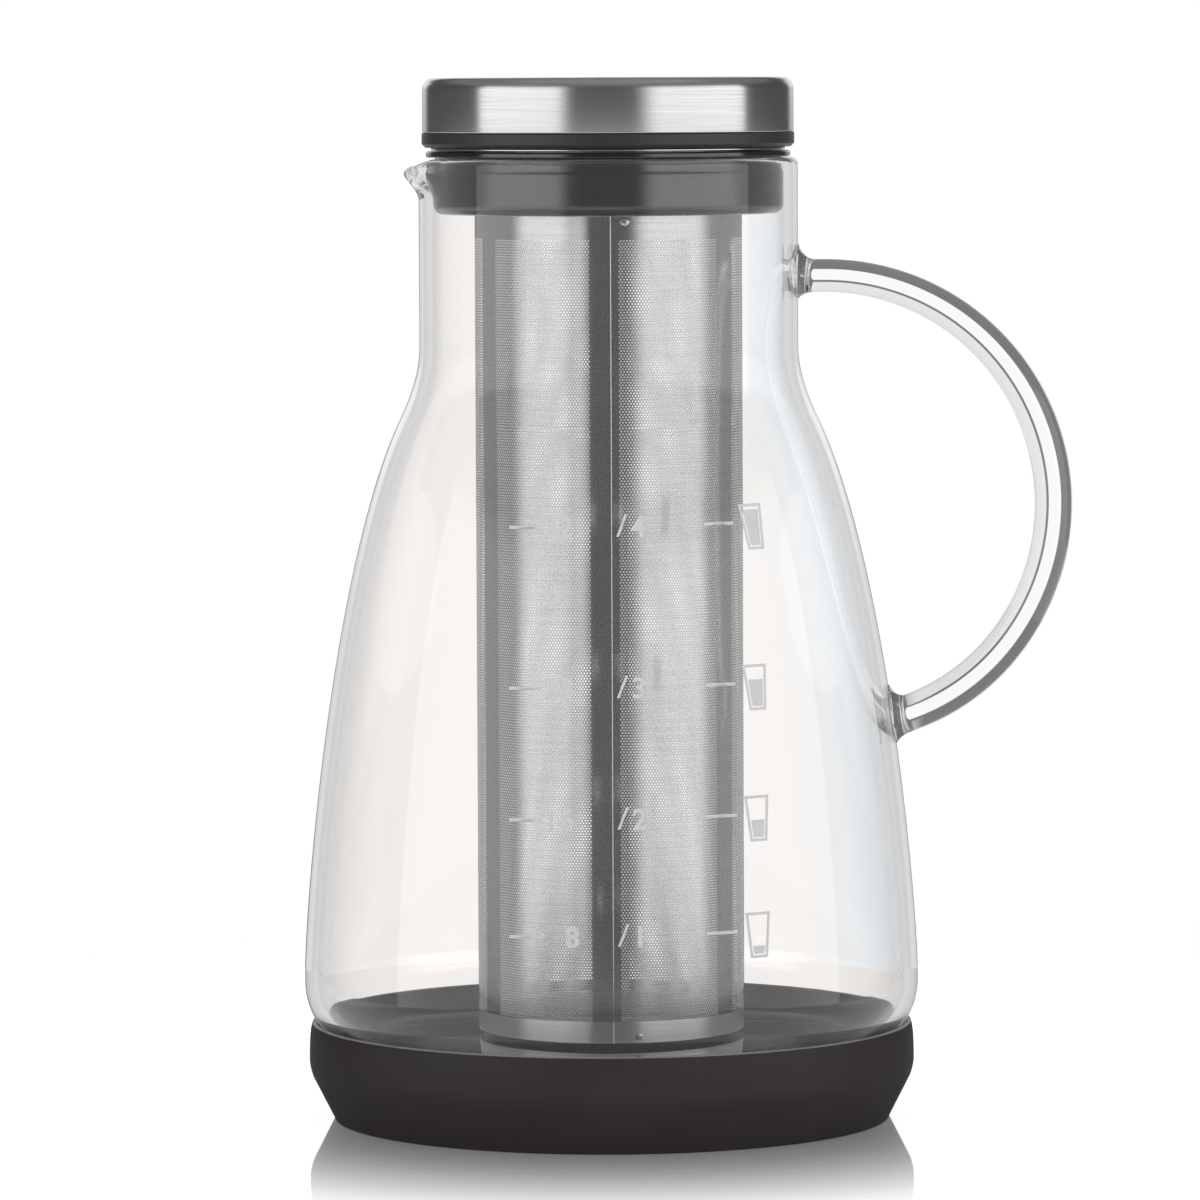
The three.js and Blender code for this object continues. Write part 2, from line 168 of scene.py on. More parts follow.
class BootSizes(bpy.types.PropertyGroup):
    """Sizes of the silicone boot."""

    height: length("Height", "Table to the top of the lip", top_of("base_boot"))
    widest: length("Widest", "Radius of the widest ring", radius_of("base_boot"))
    widest_height: length("Widest height", "Table to the widest ring", 12 * MM)
    waist_draw: length("Waist draw", "How far the top of the straight slope is drawn in", 0.65 * MM)
    waist_height: length("Waist height", "Table to the top of the straight slope", 8.76 * MM)
    belly: length("Belly", "Tangent of the side under the widest ring", 1.4 * MM)
    lip_draw: length("Lip draw", "How far the lip is drawn in", 0.5 * MM)
    lip_depth: length("Lip depth", "Height of the drawn-in lip", 2 * MM)
    foot_draw: length("Foot draw", "How far the foot is drawn in", 4.9 * MM)
    foot_round: length("Foot round", "Rounding of the foot's edge", 0.4 * MM)
    clearance: length("Clearance", "Gap between the silicone and the glass", 0.12 * MM)
    groove: length("Groove", "Depth of the grip rings underneath", 0.7 * MM)
    ring_inset: length("Ring inset", "Foot's edge to the innermost grip ring", 16 * MM)
    ring_spacing: length("Ring spacing", "Between the middles of two grip rings", 6 * MM)
    ring_width: length("Ring width", "Width of a grip ring on the table", 2.6 * MM)
    ring_draft: length("Ring draft", "Slope at each side of a grip ring", 0.2 * MM)
    ring_round: length("Ring round", "Rounding of a grip ring's edges", 0.3 * MM)


class SealSizes(bpy.types.PropertyGroup):
    """Sizes of the silicone neck seal."""

    flange: length("Flange", "Thickness of the flange", 1.2 * MM)
    plug: length("Plug", "Radius of the plug in the neck", 34.85 * MM)
    bore: length("Bore", "Radius of the filter's hole", 27.05 * MM)
    corner: length("Corner", "Rounding of the plug's lower corner", 2 * MM)
    waist_draw: length("Waist draw", "How far the plug is drawn in under the flange", 0.5 * MM)
    waist_low: length("Waist, low", "Flange to the lower end of the drawn-in slope", 3.2 * MM)
    waist_high: length("Waist, high", "Flange to the upper end of the drawn-in slope", 1.6 * MM)
    edge: length("Edge", "Rounding of the flange's edge", 0.35 * MM)


class FilterSizes(bpy.types.PropertyGroup):
    """Sizes of the steel filter."""

    sheet: length("Sheet", "Thickness of the perforated sheet", 0.2 * MM)
    radius: length("Radius", "Outside of the rolled sheet", 26.6 * MM)
    lap: turn("Lap", "Angle over which the sheet's ends overlap", 7.5)
    lap_edge: turn("Lap edge", "Outer end of the sheet, right of the front line", 1.0)
    lap_rise: turn("Lap rise", "Angle over which the outer end climbs onto the inner one", 9)
    lap_gap: length("Lap gap", "Gap between the lapped ends", 0.01 * MM)
    lap_round: length("Lap round", "Rounding of the sheet's outer end", 0.24 * MM)
    plain_top: length("Plain top", "Unpierced band under the seal", 4.8 * MM)
    plain_foot: length("Plain foot", "Unpierced band at the foot", 5.0 * MM)
    rib: length("Rib", "Unpierced strip between two pierced panels", 5.7 * MM)
    rib_angle: turn("Rib angle", "Between the middles of two ribs", 60)
    rib_turn: turn("Rib turn", "How far the front rib lies left of the front line", 2)
    pitch: length("Pitch", "Distance between holes", 0.62 * MM)
    hole: length("Hole", "Radius of a hole", 0.19 * MM)
    weld: length("Weld", "Radius of a weld spot", 0.9 * MM)
    weld_dome: length("Weld dome", "Height of a weld spot", 0.16 * MM)
    weld_drop: length("Weld drop", "Seal to the upper weld spots", 1.2 * MM)
    weld_rise: length("Weld rise", "Foot to the lower weld spots", 1.5 * MM)
    plate: length("Plate", "Thickness of the rim and the cup", 0.5 * MM)
    fit: length("Fit", "Gap between the sheet and what is welded inside it", 0.05 * MM)
    cup_ring: share("Cup ring", "Radius of the raised middle of the cup, of the cup's own", 0.7)
    cup_lift: length("Cup lift", "Height of the raised middle of the cup", 0.8 * MM)
    cup_slope: length("Cup slope", "Width of the slope round it", 2 * MM)


class LidSizes(bpy.types.PropertyGroup):
    """Sizes of the lid."""

    corner: length("Corner", "Rounding of the cap's top edge", 2.2 * MM)
    sheet: length("Sheet", "Thickness of the cap", 0.6 * MM)
    collar: length("Collar", "Height of the black collar", 2.9 * MM)
    chamfer: length("Chamfer", "Collar's lower bevel", 0.7 * MM)
    plug: length("Plug", "Radius of the plug in the filter", 24.6 * MM)
    wall: length("Wall", "Thickness of the moulding", 2 * MM)
    groove: length("Groove", "Depth of the gasket's groove", 1.2 * MM)
    groove_play: length("Groove play", "Gap above and below the gasket", 0.1 * MM)
    cap_play: length("Cap play", "Gap between the cap and the collar", 0.05 * MM)
    ring_inset: length("Ring inset", "Outside of the cap to the ring inside it", 0.9 * MM)
    dish: length("Dish", "Depth of the hollow under the plug", 0.6 * MM)
    gasket: length("Gasket", "Width of the gasket", 1.7 * MM)
    gasket_lip: length("Gasket lip", "Depth of the hollow between the gasket's lips", 0.5 * MM)


class ScaleSizes(bpy.types.PropertyGroup):
    """Sizes of the scale printed on the glass."""

    digit: length("Digit", "Height of the digits", 3.9 * MM)
    bold: length("Bold", "How much the digits are thickened on each side", 0.12 * MM)
    stroke: length("Stroke", "Width of the printed lines", 0.62 * MM)
    ink: length("Ink", "Thickness of the print", 0.05 * MM)
    first: length("First", "Height of the lowest mark", 43.0 * MM)
    second: length("Second", "Lowest mark to the second", 22.4 * MM)
    third: length("Third", "Lowest mark to the third", 47.5 * MM)
    fourth: length("Fourth", "Lowest mark to the fourth", 78.2 * MM)
    slope: turn("Slope", "Rise of the rows to the right", 0.63)
    glass: length("Glass sign", "Height of the drinking glass sign", 8.8 * MM)


class Finishes(bpy.types.PropertyGroup):
    """Colours of the surfaces."""

    glass: colour("Glass", "Tint of the glass", 253, 253, 253)
    boot: colour("Boot", "Silicone of the boot", 50, 45, 43)
    boot_worn: colour("Boot, rubbed", "Silicone where it is rubbed", 62, 57, 55)
    # Painted highlight: the boot lip colour is a pale tone on the lip's rounded top, standing in for
    # the light it catches.
    boot_lip: colour("Boot lip", "Polished edge of the boot's lip", 150, 146, 142)
    seal: colour("Seal", "Silicone of the seal and the gasket", 32, 31, 30)
    plastic: colour("Plastic", "Moulded core of the lid", 47, 45, 45)
    steel: colour("Steel", "Stainless steel", 214, 215, 217)
    # Painted brightness: the foot band is the filter's own brushed steel, set lighter for the light
    # the plain band catches.
    foot_steel: colour("Foot steel", "Plain band at the foot of the filter", 240, 240, 240)
    sheet: colour("Sheet steel", "Pierced sheet of the filter", 196, 196, 196)
    ink: colour("Ink", "Printed scale", 216, 217, 218)


class StageLights(bpy.types.PropertyGroup):
    """Light levels and the camera."""

    softbox: level("Softboxes", "Radiance of the two front softboxes", 1.45)
    backdrop: level("Backdrop", "Radiance of the white backdrop", 1.0)
    ceiling: level("Ceiling", "Radiance overhead", 0.95)
    ceiling_loss: share("Ceiling loss", "Part of the ceiling that mirror images lose", 0.65)
    through: level("Through", "Radiance of the white surroundings behind the glass", 1.05)
    warm: colour("Warm", "Tint of the surroundings behind the glass", 255, 251, 248)
    cool: colour("Cool", "Tint of the surroundings behind the right edge of the glass", 248, 252, 255)
    dark: level("Dark", "Radiance of the unlit studio", 0.09)
    below: level("Below", "Radiance from under the horizon", 0.85)
    beside: level("Beside", "Radiance of the sides, as the pieces behind the glass mirror them", 0.26)
    high: level("High", "Radiance between the softboxes and the ceiling, mirrored outside", 0.13)
    trapped: level("Trapped", "Least radiance of what is mirrored more than once", 0.6)
    rod_dark: level("Rod, dark", "Radiance of the unlit studio in the glass handle", 0.17)
    rod_wall: level("Rod, wall", "Radiance of the right-hand wall in the glass handle", 0.82)
    rod_side: level("Rod, side", "Radiance of the bright rings in the glass handle", 0.9)
    rod_table: level("Rod, table", "Radiance of the table's right end in the glass handle", 0.75)
    wall_dark: level("Wall, dark", "Radiance of the studio in the carafe's wall", 0.45)
    wall_table: level("Wall, table", "Radiance of the table in the carafe's wall", 0.78)
    table_near: share("Table, near", "Glow of the table near the boot, of white", 0.68)
    table_far: share("Table, far", "Part of the surroundings' radiance that the table has", 0.9)
    table: length("Table", "Half of the table's width", 0.25)
    mirror: share("Mirror", "How strongly the table mirrors the boot", 0.85)
    distance: length("Distance", "Camera to the pitcher's axis", 1.5)
    height: length("Height", "Camera above the table", 211 * MM)
    aim: length("Aim", "Height that the camera looks at", 103.6 * MM)
    aside: length("Aside", "Camera left of the pitcher's axis", 1.97 * MM)
    lens: FloatProperty(name="Lens", description="Focal length", default=225.9, min=1.0,
                        unit="CAMERA")
    roll: turn("Roll", "Clockwise roll of the camera", 0.25)


# Outlines of (radius, height) points
def arc(centre, radius, start, end, steps):
    """Points along a circle's arc."""
    angles = [start + (end - start) * i / steps for i in range(steps + 1)]
    return [(centre[0] + radius * math.cos(a), centre[1] + radius * math.sin(a)) for a in angles]


def bezier(controls, steps):
    """Points along a Bezier curve of any degree."""
    points = []
    for i in range(steps + 1):
        row = [Vector(c) for c in controls]
        while len(row) > 1:
            row = [a.lerp(b, i / steps) for a, b in zip(row, row[1:])]
        points.append(tuple(row[0]))
    return points


def straight(start, end, steps):
    """Evenly spaced points on a line."""
    return [tuple(Vector(start).lerp(Vector(end), i / steps)) for i in range(steps + 1)]


def soften(corners):
    """Closed outline through corners (radius, height, rounding), each rounded by an arc."""
    outline = []
    longest_cut = 0.45
    for i, (radius, height, rounding) in enumerate(corners):
        here = Vector((radius, height))
        if rounding == 0:
            outline.append((radius, height))
            continue
        back = Vector(corners[i - 1][:2]) - here
        ahead = Vector(corners[(i + 1) % len(corners)][:2]) - here
        half = back.angle(ahead) / 2
        cut = min(rounding / math.tan(half), longest_cut * min(back.length, ahead.length))
        back.normalize()
        ahead.normalize()
        radius = cut * math.tan(half)
        middle = here + (back + ahead).normalized() * (radius / math.sin(half))
        first = here + back * cut - middle
        last = here + ahead * cut - middle
        start = math.atan2(first.y, first.x)
        sweep = (math.atan2(last.y, last.x) - start + math.pi) % (2 * math.pi) - math.pi
        outline += arc(middle, radius, start, start + sweep, CORNER_STEPS)
    return outline


def moved(outline, distance):
    """An open outline moved to its right-hand side."""
    points = []
    for i, (x, y) in enumerate(outline):
        before = Vector(outline[max(i - 1, 0)])
        after = Vector(outline[min(i + 1, len(outline) - 1)])
        along = (after - before).normalized()
        points.append((x + along.y * distance, y - along.x * distance))
    return points


def radius_at(outline, height):
    """Radius of a climbing outline at a height."""
    for low, high in zip(outline, outline[1:]):
        if low[1] <= height <= high[1]:
            part = (height - low[1]) / max(high[1] - low[1], TINY)
            return low[0] + (high[0] - low[0]) * part
    raise RuntimeError(f"the outline doesn't reach a height of {height:.4f} m")


def eased(value):
    """A soft step from 0 to 1 that is level at both ends."""
    value = min(max(value, 0.0), 1.0)
    return value * value * (3 - 2 * value)


# Meshes
def new_mesh(name, points, faces):
    """Mesh of points and faces."""
    mesh = bpy.data.meshes.new(name)
    mesh.from_pydata(points, [], faces)
    return mesh


def joined(name, parts):
    """One mesh of several, which are removed."""
    points, faces = [], []
    for part in parts:
        start = len(points)
        points += [tuple(vertex.co) for vertex in part.vertices]
        faces += [[start + i for i in polygon.vertices] for polygon in part.polygons]
        bpy.data.meshes.remove(part)
    return new_mesh(name, points, faces)


def skin(name, rings, closed=False, more_faces=()):
    """Mesh over rings of points; a ring of one point closes an end."""
    points = [point for ring in rings for point in ring]
    numbers = []
    for ring in rings:
        start = numbers[-1][-1] + 1 if numbers else 0
        numbers.append(range(start, start + len(ring)))
    pairs = list(zip(numbers, numbers[1:]))
    if closed:
        pairs.append((numbers[-1], numbers[0]))
    faces = []
    for low, high in pairs:
        count = max(len(low), len(high))
        for i in range(count):
            j = (i + 1) % count
            if len(low) == 1:
                faces.append((low[0], high[j], high[i]))
            elif len(high) == 1:
                faces.append((low[i], low[j], high[0]))
            else:
                faces.append((low[i], low[j], high[j], high[i]))
    return new_mesh(name, points, [*faces, *more_faces])


def turned(name, outline, shape=None, angles=None):
    """Mesh turned about Z from an outline that runs anticlockwise round the section."""
    angles = angles or [2 * math.pi * i / SIDES for i in range(SIDES)]
    rings = []
    for radius, height in outline:
        if radius < TINY:
            rings.append([(0.0, 0.0, height)])
            continue
        ring = []
        for angle in angles:
            point = (radius * math.cos(angle), radius * math.sin(angle), height)
            ring.append(shape(point) if shape else point)
        rings.append(ring)
    return skin(name, rings, closed=len(rings[0]) > 1)


def shown_mesh(name, blank):
    """Mesh of a temporary object as it is shown, after which the object is removed."""
    bpy.context.scene.collection.objects.link(blank)
    depsgraph = bpy.context.evaluated_depsgraph_get()
    mesh = bpy.data.meshes.new_from_object(blank.evaluated_get(depsgraph))
    mesh.name = name
    bpy.data.objects.remove(blank)
    return mesh


def fused(name, body, rod):
    """One mesh of two closed meshes that overlap."""
    tool = bpy.data.objects.new("rod_blank", rod)
    bpy.context.scene.collection.objects.link(tool)
    blank = bpy.data.objects.new("glass_blank", body)
    union = blank.modifiers.new("fuse", "BOOLEAN")
    union.operation = "UNION"
    union.solver = "MANIFOLD"
    union.object = tool
    mesh = shown_mesh(name, blank)
    bpy.data.objects.remove(tool)
    if len(mesh.polygons) < len(body.polygons) / 2:
        raise RuntimeError("the handle didn't fuse to the carafe")
    return mesh


def place(name, mesh, finish, body, nodes=()):
    """Shows a mesh as a piece that rides on a body and stands for its CAD nodes."""
    piece = bpy.data.objects.new(name, mesh)
    bpy.context.scene.collection.objects.link(piece)
    mesh.materials.clear()
    mesh.materials.append(finish)
    mesh.shade_smooth()
    mesh.set_sharp_from_angle(angle=SHARP_ANGLE)
    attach(piece, body)
    if nodes:
        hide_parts(*nodes)
    return piece


def faces_axis(polygon):
    """Whether a polygon's front looks towards the pitcher's axis."""
    inward = -0.5
    return polygon.normal.xy.dot(polygon.center.xy.normalized()) < inward


def repaint(mesh, finish, chosen):
    """Gives another finish to the polygons that a test picks out."""
    mesh.materials.append(finish)
    for polygon in mesh.polygons:
        if chosen(polygon):
            polygon.material_index = len(mesh.materials) - 1


# Shape of the glass
def carafe_side(sizes, steps=CURVE_STEPS):
    """Outside of the glass from the edge of its floor to the foot of the neck."""
    lean = math.tan(sizes.lean)
    shoulder_radius = sizes.neck_radius + sizes.swell
    neck_foot = sizes.rim - sizes.neck_length
    shoulder_foot = neck_foot - sizes.shoulder
    widest = sizes.foot + sizes.heel
    heel = arc((sizes.body_radius - sizes.heel, widest), sizes.heel, -QUARTER, 0, steps)
    side = bezier([
        (sizes.body_radius, widest),
        (sizes.body_radius, widest + sizes.pull_low),
        (shoulder_radius + lean * sizes.pull_high, shoulder_foot - sizes.pull_high),
        (shoulder_radius, shoulder_foot),
    ], 4 * steps)
    shoulder = bezier([
        (shoulder_radius, shoulder_foot),
        (sizes.neck_radius, shoulder_foot + sizes.swell / lean),
        (sizes.neck_radius, neck_foot),
    ], steps)
    return heel + side[1:] + shoulder[1:]


def carafe_outside(sizes):
    """Outside of the glass from the edge of its floor to the rim."""
    return carafe_side(sizes) + [(sizes.neck_radius, sizes.rim)]


def carafe_outline(sizes):
    """Section of the glass, from the middle of its underside round the rim to the floor inside."""
    side = carafe_side(sizes)
    bore = sizes.neck_radius - sizes.wall
    round_rim = sizes.wall / 2
    lip_foot = sizes.rim - sizes.lip_height
    neck_foot = sizes.rim - sizes.neck_length
    rim_foot = sizes.rim - round_rim
    hub = 4 * MM
    floor_rings = 5
    outer_neck = straight((sizes.neck_radius, neck_foot), (sizes.neck_radius, lip_foot),
                          2 * CURVE_STEPS)
    outer_lip = straight((sizes.neck_radius, lip_foot), (sizes.neck_radius, rim_foot), CURVE_STEPS)
    rim = arc((bore + round_rim, rim_foot), round_rim, 0, math.pi, 3 * CORNER_STEPS)
    inner_lip = [(bore, height) for _, height in reversed(outer_lip)]
    inner_neck = [(bore, height) for _, height in reversed(outer_neck)]
    floor = [(0.0, sizes.foot)] + straight((hub, sizes.foot), side[0], floor_rings)
    inside = moved(side, -sizes.wall)[::-1]
    inner_height = inside[-1][1]
    inner_floor = straight(inside[-1], (hub, inner_height), floor_rings) + [(0.0, inner_height)]
    return (floor + side[1:] + outer_neck[1:] + outer_lip[1:] + rim[1:-1]
            + inner_lip + inner_neck[1:] + inside[1:] + inner_floor[1:])


def handle_side_angles():
    """Angles round the axis, closer together on the +X side where the handle is fused on."""
    half = math.radians(9.2)
    half_count = 24
    close = [half * i / half_count for i in range(-half_count, half_count + 1)]
    apart = SIDES - len(close)
    step = (2 * math.pi - 2 * half) / (apart + 1)
    return close + [half + step * (i + 1) for i in range(apart)]


def lip_drawer(sizes):
    """Function that draws the neck's points out and down into the pouring lip on the -X side."""
    waves_round = 10 * QUARTER
    waves_up = 7 * QUARTER

    def draw(point):
        x, y, z = point
        radius = math.hypot(x, y)
        angle = abs(math.atan2(y, -x))
        rise = (z - sizes.rim + sizes.lip_height) / sizes.lip_height
        if rise <= 0 or angle >= sizes.lip_angle:
            return point
        middle = math.cos(QUARTER * angle / sizes.lip_angle) ** 2
        reach = sizes.lip_reach * middle * eased(rise / sizes.lip_full)
        if radius > sizes.neck_radius - sizes.wall / 2:
            wave = math.cos(waves_round * angle / sizes.lip_angle) * math.sin(waves_up * rise)
            reach += sizes.lip_ripple * middle * rise * wave
        wider = 1 + reach / radius
        return (x * wider, y * wider, z - sizes.lip_drop * middle * rise * rise)
    return draw


def handle_path(glass, handle, outside):
    """Centre points and directions of the handle, with their distances to its two ends."""
    centre = Vector((glass.neck_radius + handle.run, glass.rim - handle.drop - handle.bend))
    tail_way = Vector((math.sin(handle.tail_turn), math.cos(handle.tail_turn)))
    tail_centre = centre + (handle.bend - handle.tail_bend) * tail_way

    def bent(swept):
        """Point of the centre line where it has turned by an angle from level."""
        way = Vector((math.sin(swept), math.cos(swept)))
        if swept < handle.tail_turn:
            return centre + handle.bend * way
        return tail_centre + handle.tail_bend * way

    landing = QUARTER
    landing_step = math.radians(0.1)
    while bent(landing).x > radius_at(outside, bent(landing).y):
        landing += landing_step
    bend_end = handle.run + handle.bend * handle.tail_turn
    total = bend_end + handle.tail_bend * (landing - handle.tail_turn)
    end_step = 0.2 * MM
    middle_step = 1.2 * MM
    end_rings = 44
    sunk_rings = 3
    ends = [-handle.sink] + [i * end_step for i in range(-sunk_rings, end_rings)]
    end_length = end_rings * end_step
    middle = total - 2 * end_length
    middle_count = round(middle / middle_step)
    stations = ends + [end_length + middle * i / middle_count for i in range(middle_count + 1)]
    stations += [total - along for along in reversed(ends)]
    path = []
    for along in stations:
        bend_part = min(max(along - handle.run, 0.0), handle.bend * handle.tail_turn)
        tail_part = min(max(along - bend_end, 0.0), total - bend_end)
        swept = bend_part / handle.bend + tail_part / handle.tail_bend
        ahead = Vector((math.cos(swept), 0, -math.sin(swept)))
        past_bend = min(along - handle.run, 0.0) + max(along - total, 0.0)
        point = bent(swept)
        spot = Vector((point.x, 0, point.y)) + ahead * past_bend
        path.append((along, total - along, spot, ahead))
    return path


def handle_mesh(glass, handle, outside):
    """Glass rod whose ends flare over the surface that they are fused to."""
    path = handle_path(glass, handle, outside)
    sideways = Vector((0, 1, 0))
    nearest = 0.94
    fused_ends = [(min(path, key=lambda item: abs(item[end])), end) for end in (0, 1)]
    rings = []
    for along, left, spot, ahead in path:
        across = sideways.cross(ahead)
        rod = handle.rod - handle.thinning * (1 - eased(along / handle.thin_length))
        landed, end = fused_ends[0 if along < left else 1]
        to_end = min(along, left)
        near = min(max(1 - to_end / handle.flare_length, 0.0), nearest)
        spread = handle.flare * (1 - math.sqrt(1 - near * near))
        fitted = eased(1 - to_end / handle.blend)
        ring = []
        for i in range(ROD_SIDES):
            angle = 2 * math.pi * i / ROD_SIDES
            out = across * math.cos(angle) + sideways * math.sin(angle)
            radius = rod + spread * (1 + handle.flare_lean * out.z)
            point = spot + out * radius
            if fitted > 0:
                away = landed[3] * (1 if end == 0 else -1)
                foot = landed[2] + out * radius
                point += away * (shift_to_glass(foot, away, outside) * fitted)
            ring.append(tuple(point))
        rings.append(ring)
    rings.insert(0, [tuple(sum((Vector(p) for p in rings[0]), Vector()) / ROD_SIDES)])
    rings.append([tuple(sum((Vector(p) for p in rings[-1]), Vector()) / ROD_SIDES)])
    return skin("handle_rod", rings)


def shift_to_glass(point, away, outside):
    """How far a point has to move along a direction to lie on the outside of the glass."""
    slope_step = 0.5 * MM
    rounds = 5
    shift = 0.0
    for _ in range(rounds):
        spot = point + away * shift
        radius = radius_at(outside, spot.z)
        slope = (radius_at(outside, spot.z + slope_step) - radius) / slope_step
        shift -= (math.hypot(spot.x, spot.y) - radius) / math.hypot(1, slope)
    return shift


# Shader nodes
class Term:
    """A socket in a board of nodes; arithmetic on it adds Math nodes."""

    def __init__(self, board, socket):
        self.board = board
        self.socket = socket

    def __add__(self, other):
        return self.board.math("ADD", self, other)

    def __radd__(self, other):
        return self.board.math("ADD", other, self)

    def __sub__(self, other):
        return self.board.math("SUBTRACT", self, other)

    def __rsub__(self, other):
        return self.board.math("SUBTRACT", other, self)

    def __mul__(self, other):
        return self.board.math("MULTIPLY", self, other)

    def __rmul__(self, other):
        return self.board.math("MULTIPLY", other, self)

    def __truediv__(self, other):
        return self.board.math("DIVIDE", self, other)

    def __rtruediv__(self, other):
        return self.board.math("DIVIDE", other, self)

    def __lt__(self, other):
        return self.board.math("LESS_THAN", self, other)

    def __gt__(self, other):
        return self.board.math("GREATER_THAN", self, other)

    def __neg__(self):
        return self.board.math("MULTIPLY", self, -1.0)

    def __abs__(self):
        return self.board.math("ABSOLUTE", self)

    def output(self, name):
        """Another output of the same node."""
        return Term(self.board, self.socket.node.outputs[name])


class Board:
    """The nodes of one material or world."""

    def __init__(self, owner):
        owner.use_nodes = True
        self.owner = owner
        self.tree = owner.node_tree
        self.tree.nodes.clear()

    def node(self, kind, settings=None, inputs=None, output=0):
        """Adds a node, sets it up, feeds its sockets and gives one of its outputs."""
        made = self.tree.nodes.new("ShaderNode" + kind)
        for name, value in (settings or {}).items():
            setattr(made, name, value)
        for name, value in (inputs or {}).items():
            socket = made.inputs[name]
            if isinstance(value, Term):
                self.tree.links.new(value.socket, socket)
            elif socket.type == "RGBA":
                socket.default_value = (*value[:3], 1.0)
            else:
                socket.default_value = value
        return Term(self, made.outputs[output]) if made.outputs else None

    def math(self, operation, *values):
        """A Math node on terms and numbers."""
        return self.node("Math", {"operation": operation}, dict(enumerate(values)))

    def most(self, first, *others):
        """The greatest of terms and numbers."""
        for other in others:
            first = self.math("MAXIMUM", first, other)
        return first

    def hypot(self, across, up):
        """Length of the long side of a right triangle."""
        return self.math("SQRT", across * across + up * up)

    def mix(self, factor, first, second):
        """A shader between two shaders."""
        return self.node("MixShader", None, {0: factor, 1: first, 2: second})

    def ramp(self, value, low, high):
        """A soft step from 0 at low to 1 at high."""
        return self.node("MapRange", {"interpolation_type": "SMOOTHSTEP"},
                         {"Value": value, "From Min": low, "From Max": high})

    def blend(self, factor, first, second):
        """A colour between two colours."""
        settings = {"data_type": "RGBA", "clamp_factor": True}
        return self.node("Mix", settings, {0: factor, 6: first, 7: second}, output=2)

    def place(self):
        """Position on the piece, in metres."""
        return self.node("TexCoord", output="Object")

    def split(self, vector):
        """The three parts of a vector."""
        first = self.node("SeparateXYZ", None, {0: vector})
        return first, first.output("Y"), first.output("Z")

    def scaled(self, vector, *factors):
        """A vector with each part multiplied."""
        return self.node("VectorMath", {"operation": "MULTIPLY"}, {0: vector, 1: factors})

    def noise(self, vector, scale, detail=2.0, roughness=0.5):
        """Noise between 0 and 1."""
        return self.node("TexNoise", {"noise_dimensions": "3D"}, {
            "Vector": vector, "Scale": scale, "Detail": detail, "Roughness": roughness})

    def lines(self, x, y, up, along, across, detail, roughness=0.5):
        """Noise drawn out round the axis; along and across are its scales per metre."""
        vector = self.node("CombineXYZ", None, {0: x * along, 1: y * along, 2: up * across})
        return self.noise(vector, 1.0, detail, roughness)

    def bump(self, height, distance, strength=1.0):
        """A normal from heights between 0 and 1."""
        return self.node("Bump", None, {
            "Height": height, "Distance": distance, "Strength": strength})

    def glow(self, kind, radiance, brightest, tint=WHITE):
        """Light of a varying radiance, as a mix of none and the brightest."""
        none = self.node(kind, None, {"Strength": 0.0})
        full = self.node(kind, None, {"Color": tint, "Strength": brightest})
        return self.mix(radiance / brightest, none, full)

    def surface(self, inputs):
        """Ends a material in one Principled shader."""
        shader = self.node("BsdfPrincipled", None, inputs)
        self.node("OutputMaterial", None, {"Surface": shader})
        return self.owner


def new_board(name):
    """Board of a new material."""
    return Board(bpy.data.materials.new(name))


def dimmed(shade, part):
    """A colour with part of its light."""
    return [channel * part for channel in shade]


def glass_finish(paint):
    """Clear glass with the faint waves of drawn glass and a faint painted glow standing in for light
    scattered in it.
    """
    board = new_board("clear_glass")
    drawn_out = board.scaled(board.place(), 1.0, 1.0, 0.35)
    waves = board.noise(drawn_out, scale=42.0, detail=1.5)
    return board.surface({
        "Base Color": paint.glass,
        "Roughness": 0.0,
        "IOR": 1.47,
        "Transmission Weight": 1.0,
        # Painted glow: the glass gives off a faint constant light of its own.
        "Emission Color": WHITE,
        "Emission Strength": 0.006,
        "Normal": board.bump(waves, distance=0.12 * MM, strength=0.25),
    })


def silicone_finish(name, plain, worn, roughness, shine=0.42):
    """Matte silicone with a fine moulded grain, dusty blotches and pale specks."""
    board = new_board(name)
    spot = board.place()
    blotch = board.noise(spot, scale=55.0, detail=4.0, roughness=0.6)
    grain = board.noise(spot, scale=3200.0)
    speck = board.ramp(board.noise(spot, scale=900.0, detail=1.0), low=0.74, high=0.82)
    rubbed = board.ramp(blotch, low=0.35, high=0.8) * 0.5 + speck * 0.25
    return board.surface({
        "Base Color": board.blend(rubbed, plain, worn),
        "Roughness": roughness + blotch * 0.12 + grain * 0.06,
        "Specular IOR Level": shine,
        "Normal": board.bump(grain, distance=0.02 * MM, strength=roughness),
    })


def plastic_finish(paint):
    """Black moulded plastic with a spark-eroded grain."""
    board = new_board("moulded_plastic")
    spot = board.place()
    grain = board.noise(spot, scale=2400.0, detail=3.0)
    cloud = board.noise(spot, scale=70.0, detail=3.0)
    lighter = [channel * 1.5 for channel in paint.plastic]
    return board.surface({
        "Base Color": board.blend(cloud * 0.5, paint.plastic, lighter),
        "Roughness": 0.36 + grain * 0.14,
        "Normal": board.bump(grain, distance=0.025 * MM, strength=0.4),
    })


def brushed_finish(name, shade, roughness, anisotropy):
    """Stainless steel brushed round the axis, with long fine lines."""
    board = new_board(name)
    x, y, z = board.split(board.place())
    up = z + board.hypot(x, y)
    fine = board.lines(x, y, up, along=55.0, across=9000.0, detail=3.0, roughness=0.62)
    broad = board.lines(x, y, up, along=30.0, across=2600.0, detail=2.0)
    lines = board.ramp(fine * 0.7 + broad * 0.3, low=0.3, high=0.72)
    return board.surface({
        "Base Color": board.blend(lines, dimmed(shade, 0.84), shade),
        "Metallic": 1.0,
        "Roughness": roughness + (1 - lines) * 0.07,
        "Anisotropic": anisotropy,
        "Anisotropic Rotation": 0.25,
        "Normal": board.bump(lines, distance=0.003 * MM, strength=0.4),
    })


